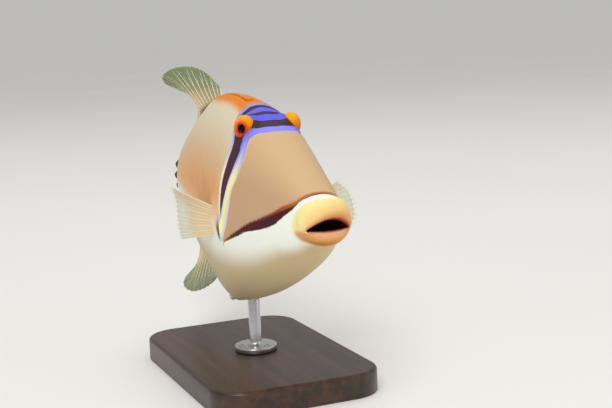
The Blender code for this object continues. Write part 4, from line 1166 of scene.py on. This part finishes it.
def membrane_material(name, near, far, thick_skin, clear):
    """Fin membrane: thin wet skin that lets light through, but pale and nearly opaque where it is milky."""
    made, tree, shader = new_material(name)
    out = add(tree, "ShaderNodeAttribute", attribute_name="out").outputs["Fac"]
    milky = add(tree, "ShaderNodeAttribute", attribute_name="milky").outputs["Fac"]
    where = add(tree, "ShaderNodeTexCoord").outputs["Object"]
    # Cloudy tone, about 3 mm across
    clouds = add(tree, "ShaderNodeTexNoise", {0: where, "Scale": 330.0, "Detail": 3.0})
    cloudy = add(tree, "ShaderNodeMath", {0: clouds, 1: 0.20, 2: out}, operation="MULTIPLY_ADD")
    shade = add(tree, "ShaderNodeValToRGB", {0: cloudy}, ((0.20, near), (0.80, far)))
    paint = layered(tree, shade, (("milky", 1.0, thick_skin), ("foot", 1.0, FOOT_COLOUR)))
    cover = add(tree, "ShaderNodeMapRange", {0: milky, 3: 1 - clear, 4: 0.97})
    fill(tree, shader, {"Base Color": paint, "Alpha": cover, "Roughness": 0.40, "Specular IOR Level": 0.25})
    return made


def make_fins(rods):
    bone = ray_material()
    olive = membrane_material("olive_fin_membrane", "#B8AE7E", "#6E8450", "#E2C69E", 0.42)
    pale = membrane_material("pale_fin_membrane", "#E8D4B0", "#DEDECA", "#EACDA4", 0.58)

    def folded(s, t):
        return smooth(0.62, 0.30, t) * (0.12 + 0.88 * bell(s, 0.42, 0.20))

    def fanned(s, t):
        return np.maximum(smooth(0.85, 0.45, t) * 0.9, 0.8 * smooth(0.28, 0.02, s) * smooth(1.0, 0.75, t))

    def tail_milk(s, t):
        return 0.75 * smooth(0.75, 0.20, t) * bell(s, 0.5, 0.42)

    jobs = [("soft_dorsal", median_point(SOFT_DORSAL, BACK_LINE, 1), SOFT_DORSAL["rays"], olive,
             "dorsal_fin_soft", 0.02, folded, 0.99),
            ("anal", median_point(ANAL, BELLY_LINE, -1), ANAL["rays"], olive, "anal_fin", 0.02, folded, 0.99),
            ("tail", tail_point, TAIL_RAYS, pale, "tail_fin", 0.03, tail_milk, 0.98)]
    for name, side in (("left", 1), ("right", -1)):
        jobs.append(("pectoral_" + name, pectoral_point(name, side), PECTORAL_RAYS, pale,
                     "pectoral_fin_" + name, 0.03, fanned, 0.94))
    for name, point, count, finish, node, start, milky, ends_at in jobs:
        membrane(name + "_membrane", point, count, finish, (node,), start, milky, ends_at)
        rods_piece(name + "_rays", ray_lines(point, count, start), rods, bone,
                   0.68 if name.startswith("pectoral") else 1.0)


def folded_web_material():
    """Folded web of the first dorsal fin: damp skin in fine creases, orange-brown like the back round it,
    with the creases' light and shade painted as streaks.
    """
    made, tree, shader = new_material("folded_fin_skin")
    where = add(tree, "ShaderNodeTexCoord").outputs["Object"]
    # Painted light and shade of creases: streaks 0.4 mm wide and 5 mm long
    crease_light_and_shade = add(tree, "ShaderNodeMapping", {0: where, 3: (2500, 180, 2500)})
    crease_light_and_shade = add(tree, "ShaderNodeTexNoise", {0: crease_light_and_shade, "Scale": 1.0, "Detail": 3.0})
    paint = add(tree, "ShaderNodeValToRGB", {0: crease_light_and_shade}, ((0.35, "#E07C1C"), (0.65, "#F29426")))
    fill(tree, shader, {"Base Color": paint, "Roughness": 0.5, "Specular IOR Level": 0.2})
    return made


def folded_spine_material():
    """Dorsal spines: hard, slightly glossy bone under thin orange-brown skin."""
    made, tree, shader = new_material("skinned_spine_bone")
    where = add(tree, "ShaderNodeTexCoord").outputs["Object"]
    # Grain 1 mm across
    grain = add(tree, "ShaderNodeTexNoise", {0: where, "Scale": 900.0, "Detail": 3.0})
    paint = add(tree, "ShaderNodeValToRGB", {0: grain}, ((0.35, "#D88430"), (0.65, "#F2A64C")))
    bump = add(tree, "ShaderNodeBump", {"Height": grain, "Strength": 0.3, "Distance": 0.1 * MM})
    fill(tree, shader, {"Base Color": paint, "Normal": bump, "Roughness": 0.35})
    return made


FOLD_ROWS = 70
FOLD_COLUMNS = 27
SPINE_POINTS = 24
# Its spines, as (left, first and last share of the fin, radius in mm at the root and at the tip)
FOLDED_SPINES = ((0.0, 0.02, 0.66, 0.62, 0.16), (-0.52, 0.10, 0.84, 0.28, 0.10),
                 (0.52, 0.16, 0.96, 0.24, 0.08))


def make_folded_fin(rods):
    """First dorsal fin folded in its groove: a stout locking spine and two thin ones on a pleated web."""
    rings = []
    for share in np.linspace(0, 1, FOLD_ROWS):
        back = FOLD_START + (FOLD_END - FOLD_START) * share
        round_end = math.sqrt(max(0.02, min(1.0, share / 0.08, (1 - share) / 0.04)))
        half = FOLD_HALF * (1 - FOLD_NARROWS * share) * round_end
        across = np.linspace(-1, 1, FOLD_COLUMNS)
        top = (0.30 * MM * (1 - 0.8 * share) * round_end * np.sqrt(1 - 0.9 * across**2)
               + 0.07 * MM * np.cos(across * 5 * np.pi + 2 * math.sin(9 * share)) * (1 - np.abs(across)))
        under = -FOLD_DEPTH * FOLD_FILL * (1 - 0.45 * share) * np.ones(3)
        left = np.concatenate([across, (0.96, 0.0, -0.96)]) * half / STANDARD_LENGTH
        up = along(BACK_LINE, back) + np.concatenate([top, under]) / STANDARD_LENGTH
        rings.append(place(back, left, up))
    make_piece("folded_fin_web", np.concatenate(rings), tube_faces(FOLD_ROWS, FOLD_COLUMNS + 3),
               folded_web_material(), ("dorsal_fin_spiny",))
    lines = []
    for left, first, last, root, tip in FOLDED_SPINES:
        share = np.linspace(first, last, SPINE_POINTS)
        back = FOLD_START + (FOLD_END - FOLD_START) * share
        way = np.linspace(0, 1, SPINE_POINTS)
        radius = (root + (tip - root) * way) * MM
        radius[0] *= 0.7
        side = left * FOLD_HALF * (1 - FOLD_NARROWS * share) / STANDARD_LENGTH
        up = along(BACK_LINE, back) + (0.12 * MM - 0.25 * radius) / STANDARD_LENGTH
        lines.append((place(back, side, up), radius, way))
    rods_piece("folded_fin_spines", lines, rods, folded_spine_material())


# Spines of the tail stalk and pelvic knob


def stalk_spine_material():
    """Stalk spines: black-brown, hard and slightly glossy, faintly mottled."""
    made, tree, shader = new_material("black_spine_horn")
    where = add(tree, "ShaderNodeTexCoord").outputs["Object"]
    # Mottled 0.8 mm across
    mottled = add(tree, "ShaderNodeTexNoise", {0: where, "Scale": 1200.0, "Detail": 2.0})
    paint = add(tree, "ShaderNodeValToRGB", {0: mottled}, ((0.35, "#120C0A"), (0.7, "#3A2418")))
    fill(tree, shader, {"Base Color": paint, "Roughness": 0.35})
    return made


def knob_material():
    """Pelvic knob: rough white bone, stained cream in its hollows."""
    made, tree, shader = new_material("rough_white_bone")
    where = add(tree, "ShaderNodeTexCoord").outputs["Object"]
    # Pits 0.4 mm across
    pits = add(tree, "ShaderNodeTexNoise", {0: where, "Scale": 2600.0, "Detail": 3.0, "Roughness": 0.6})
    paint = add(tree, "ShaderNodeValToRGB", {0: pits}, ((0.35, "#D8CBA8"), (0.6, "#F4F0E4")))
    bump = add(tree, "ShaderNodeBump", {"Height": pits, "Strength": 0.5, "Distance": 0.12 * MM})
    fill(tree, shader, {"Base Color": paint, "Normal": bump, "Roughness": 0.6})
    return made


KNOB_BACK = 0.560  # a little behind the CAD knob and leaning further back, where the photograph shows it
KNOB_SUNK = 3.2 * MM
KNOB_SIDES = 36
# Its outline as (share of its length, share of its radius), and its rings of barbs as (share, count)
KNOB_SHAPE = ((0.0, 0.85), (0.15, 0.93), (0.35, 1.0), (0.55, 1.0), (0.72, 0.92), (0.86, 0.76), (0.95, 0.52),
              (1.0, 0.20))
BARB_RINGS = ((0.60, 9), (0.75, 9), (0.89, 7))
SPINES_AHEAD = 4  # small spines in front of each row's CAD ones


def make_stalk_spines(thorns):
    """Three rows of spines that hook forwards on each side of the stalk, growing towards the tail."""
    spines = []
    for side in (1, -1):
        for start, up, count in STALK_SPINE_ROWS:
            for i in range(-SPINES_AHEAD, count):
                back = start + 0.006 + i * STALK_SPINE_PITCH
                here = place(back, side * flank(back, up), up)
                ahead = place(back - 0.01, side * flank(back - 0.01, up), up) - here
                over = place(back, side * flank(back, up + 0.01), up + 0.01) - here
                out = unit(np.cross(ahead, over))
                out = out * (1 if out[0] * side > 0 else -1)
                spines.append((here, out, ahead, 0.55 + 0.6 * smooth(-SPINES_AHEAD, 2, i)))
    thorns_piece("stalk_spines", spines, thorns,
                 {"Height": STALK_SPINE_HEIGHT * 1.1, "Radius": STALK_SPINE_RADIUS, "Lean": 0.8, "Sides": 8,
                  "Finish": stalk_spine_material()})


def make_pelvic_knob(thorns):
    """Blunt knob of bone at the tip of the belly keel, with rings of small barbs."""
    aim = np.array(Vector((0, 0.85, -0.53)).normalized())
    root = place(KNOB_BACK, 0.0, along(BELLY_LINE, KNOB_BACK)) - aim * KNOB_SUNK
    profile = [(PELVIC_LENGTH * far, PELVIC_RADIUS * wide) for far, wide in KNOB_SHAPE]
    rings = np.array(turned(profile, KNOB_SIDES, root, aim))
    turns = 2 * np.pi * np.arange(KNOB_SIDES) / KNOB_SIDES
    ribs = 1 + 0.035 * np.cos(turns * 9)[None, :, None]
    middles = rings.mean(axis=1, keepdims=True)
    bone = knob_material()
    make_piece("pelvic_knob", (middles + (rings - middles) * ribs).reshape(-1, 3),
               tube_faces(len(profile), KNOB_SIDES), bone, ("pelvic_spine",))
    across = np.array(Vector(aim).orthogonal().normalized())
    barbs = []
    for ring, (far, count) in enumerate(BARB_RINGS):
        wide = np.interp(far, *zip(*KNOB_SHAPE)) * PELVIC_RADIUS
        for i in range(count):
            turn = 2 * math.pi * (i + 0.5 * (ring % 2)) / count
            out = across * math.cos(turn) + np.cross(aim, across) * math.sin(turn)
            barbs.append((root + aim * PELVIC_LENGTH * far + out * wide, out, aim, 1.0 - 0.15 * ring))
    thorns_piece("pelvic_barbs", barbs, thorns,
                 {"Height": 0.42 * MM, "Radius": 0.26 * MM, "Lean": 0.7, "Sides": 8, "Finish": bone})


# Stand


def wood_material():
    """Stand base: hardwood stained dark, with straight grain along its length under satin lacquer."""
    made, tree, shader = new_material("dark_stained_wood")
    where = add(tree, "ShaderNodeTexCoord").outputs["Object"]
    # Growth bands about 4 mm wide, and pores 0.3 mm wide and 6 mm long
    wide = add(tree, "ShaderNodeMapping", {0: where, 3: (230, 12, 230)})
    bands = add(tree, "ShaderNodeTexNoise", {0: wide, "Scale": 1.0, "Detail": 4.0, "Roughness": 0.55})
    thin = add(tree, "ShaderNodeMapping", {0: where, 3: (3000, 150, 3000)})
    pores = add(tree, "ShaderNodeTexNoise", {0: thin, "Scale": 1.0, "Detail": 2.0})
    stain = add(tree, "ShaderNodeValToRGB", {0: bands}, (
        (0.30, "#1E110B"), (0.48, "#38200F"), (0.62, "#4E2E18"), (0.75, "#331C10")))
    dark = add(tree, "ShaderNodeMapRange", {0: pores, 1: 0.56, 2: 0.66, 3: 0.0, 4: 0.6})
    paint = add(tree, "ShaderNodeMix", {0: dark, 6: stain, 7: "#120906"}, data_type="RGBA")
    bump = add(tree, "ShaderNodeBump", {"Height": pores, "Strength": 0.15, "Distance": 0.1 * MM})
    fill(tree, shader, {"Base Color": paint, "Normal": bump, "Roughness": 0.42, "Coat Weight": 0.25,
                        "Coat Roughness": 0.28})
    return made


def steel_material():
    """Rod, flange and screws: turned stainless steel with fine rings, satin."""
    made, tree, shader = new_material("satin_stainless_steel")
    where = add(tree, "ShaderNodeTexCoord").outputs["Object"]
    # Turning marks 0.2 mm apart
    rings = add(tree, "ShaderNodeMapping", {0: where, 3: (120, 120, 5000)})
    marks = add(tree, "ShaderNodeTexNoise", {0: rings, "Scale": 1.0, "Detail": 2.0})
    paint = add(tree, "ShaderNodeValToRGB", {0: marks}, ((0.3, "#C2C3C5"), (0.7, "#CBCCCE")))
    rough = add(tree, "ShaderNodeMapRange", {0: marks, 1: 0.3, 2: 0.7, 3: 0.26, 4: 0.31})
    bump = add(tree, "ShaderNodeBump", {"Height": marks, "Strength": 0.03, "Distance": 0.03 * MM})
    fill(tree, shader, {"Base Color": paint, "Roughness": rough, "Normal": bump, "Metallic": 1.0})
    return made


CORNER_POINTS = 15
ROD_ROUND = 48
FLANGE_FILLET = 1.6 * MM
FLANGE_EDGE = 0.5 * MM
SCREW_CIRCLE = 6.2 * MM
SCREW_RADIUS = 1.3 * MM
SCREW_HEIGHT = 0.6 * MM


def belly_height(x, y):
    """Height of the belly's skin over a point of the floor."""
    back = y / STANDARD_LENGTH + ROD_BACK
    middle, rim, shape = along(WIDEST_AT, back), along(BELLY_LINE, back), along(ROUND_BELOW, back)
    share = np.clip(np.abs(x) / STANDARD_LENGTH / along(HALF_WIDTH, back), 0, 1)
    return MOUTH_HEIGHT + (middle + (rim - middle) * (1 - share**shape) ** (1 / shape)) * STANDARD_LENGTH


def make_base():
    """Flat plate with round corners and a soft top edge."""
    corner = np.linspace(0, np.pi / 2, CORNER_POINTS)
    outline = []
    for quarter, (sx, sy) in enumerate(((1, 1), (-1, 1), (-1, -1), (1, -1))):
        turn = corner + quarter * np.pi / 2
        x = np.full(CORNER_POINTS, (BASE_WIDTH / 2 - BASE_CORNER) * sx)
        y = np.full(CORNER_POINTS, (BASE_LENGTH / 2 - BASE_CORNER) * sy)
        outline.append(np.stack([x, y, np.cos(turn), np.sin(turn)], axis=1))
    x, y, out_x, out_y = np.concatenate(outline).T
    levels = [(0.0, 0.6 * MM), (0.2 * MM, 0.2 * MM), (0.6 * MM, 0.0)]
    levels += [(BASE_THICK - BASE_EDGE * (1 - math.sin(a)), BASE_EDGE * (1 - math.cos(a)))
               for a in np.linspace(0, np.pi / 2, 7)]
    levels += [(BASE_THICK, BASE_EDGE + 0.4 * MM)]
    rings = [np.stack([x + out_x * (BASE_CORNER - inset), y + out_y * (BASE_CORNER - inset),
                       np.full(len(x), z)], axis=1) for z, inset in levels]
    base = make_piece("base_plate", np.concatenate(rings), tube_faces(len(rings), len(x)), wood_material(),
                      ("stand_base",))
    base.data.set_sharp_from_angle(angle=math.radians(40))


def make_rod():
    """Flange with a fillet up to the rod, whose top is cut to the belly, and the flange's three screws."""
    steel = steel_material()
    foot = BASE_THICK + GAP
    top = foot + FLANGE_THICK
    profile = [(foot, 0.6 * FLANGE_RADIUS), (foot, FLANGE_RADIUS - 0.2 * MM),
               (foot + 0.2 * MM, FLANGE_RADIUS)]
    profile += [(top - FLANGE_EDGE * (1 - math.sin(a)), FLANGE_RADIUS - FLANGE_EDGE * (1 - math.cos(a)))
                for a in np.linspace(0, np.pi / 2, 7)]
    profile += [(top + FLANGE_FILLET * (1 - math.cos(a)), ROD_RADIUS + FLANGE_FILLET * (1 - math.sin(a)))
                for a in np.linspace(0, np.pi / 2, 9)]
    rings = turned(profile, ROD_ROUND, (0, 0, 0), (0, 0, 1))
    for share in (1.0, 0.97, 0.8, 0.55, 0.3, 0.05):
        ring = turned([(0.0, ROD_RADIUS * share)], ROD_ROUND, (0, 0, 0), (0, 0, 1))[0]
        ring[:, 2] = belly_height(ring[:, 0], ring[:, 1]) - GAP - (0.15 * MM if share == 1.0 else 0)
        rings.append(ring)
    rod = make_piece("rod_and_flange", np.concatenate(rings), tube_faces(len(rings), ROD_ROUND), steel,
                     ("stand_rod",))
    rod.data.set_sharp_from_angle(angle=math.radians(50))
    mesh = bpy.data.meshes.new("flange_screws")
    turns = [2 * math.pi * (i + 0.5) / 3 for i in range(3)]
    mesh.from_pydata([(SCREW_CIRCLE * math.cos(a), SCREW_CIRCLE * math.sin(a),
                       top + SCREW_HEIGHT / 2 - 0.1 * MM) for a in turns], [], [])
    values = {"Radius": SCREW_RADIUS, "Height": SCREW_HEIGHT, "Finish": steel}
    grown("flange_screws", mesh, screw_tree(), values)


# Main


SKY = 0.55
SKY_COLOUR = "#F6F5F2"
FLOOR_SHADE = 0.80
FLOOR_REACH = 25
LAMPS_AIM = (0, 0, 0.08)
LAMPS = (("key", (-0.75, -1.05, 1.35), 0.8, 14.0), ("fill", (1.3, -0.9, 0.7), 1.2, 2.2),
         ("top", (0.2, 0.5, 1.6), 1.0, 5.0))


def floor_material():
    """Matt pale floor. It glows by what it swallows of the sky, so that it ends in the sky with no line."""
    made, tree, shader = new_material("pale_matt_floor")
    where = add(tree, "ShaderNodeTexCoord").outputs["Object"]
    tone = add(tree, "ShaderNodeTexNoise", {0: where, "Scale": 3.0, "Detail": 2.0})
    paint = add(tree, "ShaderNodeValToRGB", {0: tone}, ((0.3, "#E6E5E2"), (0.7, "#E9E8E5")))
    fill(tree, shader, {"Base Color": paint, "Roughness": 0.9, "Specular IOR Level": 0.0,
                        "Emission Color": SKY_COLOUR, "Emission Strength": (1 - FLOOR_SHADE) * SKY})
    return made


def make_studio():
    """Pale floor, soft pale surroundings and three soft lamps."""
    floor_mesh = bpy.data.meshes.new("floor")
    turns = 2 * np.pi * np.arange(96) / 96
    edge = [(FLOOR_REACH * math.cos(t), FLOOR_REACH * math.sin(t), 0) for t in turns]
    floor_mesh.from_pydata(edge, [], [tuple(range(len(edge)))])
    floor_mesh.materials.append(floor_material())
    floor = bpy.data.objects.new("floor", floor_mesh)
    bpy.context.scene.collection.objects.link(floor)

    world = bpy.data.worlds.new("studio")
    bpy.context.scene.world = world
    world.use_nodes = True
    sky = world.node_tree.nodes["Background"]
    fill(world.node_tree, sky, {"Color": SKY_COLOUR, "Strength": SKY})

    for name, at, size, power_w in LAMPS:
        data = bpy.data.lights.new(name, "AREA")
        data.size = size
        data.energy = power_w
        lamp = bpy.data.objects.new(name, data)
        lamp.location = at
        lamp.rotation_euler = (Vector(LAMPS_AIM) - Vector(at)).to_track_quat("-Z", "Y").to_euler()
        bpy.context.scene.collection.objects.link(lamp)
    bpy.context.scene.view_settings.view_transform = "Standard"


make_camera()
make_skin()
ball_finish, iris_finish, cornea_finish = eye_ball_material(), iris_material(), cornea_material()
for eye_name, eye_side in (("left", 1), ("right", -1)):
    make_eye(eye_name, eye_side, ball_finish, iris_finish, cornea_finish)
rod_maker, thorn_maker = rod_tree(), thorn_tree()
make_fins(rod_maker)
make_folded_fin(rod_maker)
make_stalk_spines(thorn_maker)
make_pelvic_knob(thorn_maker)
make_base()
make_rod()
make_studio()
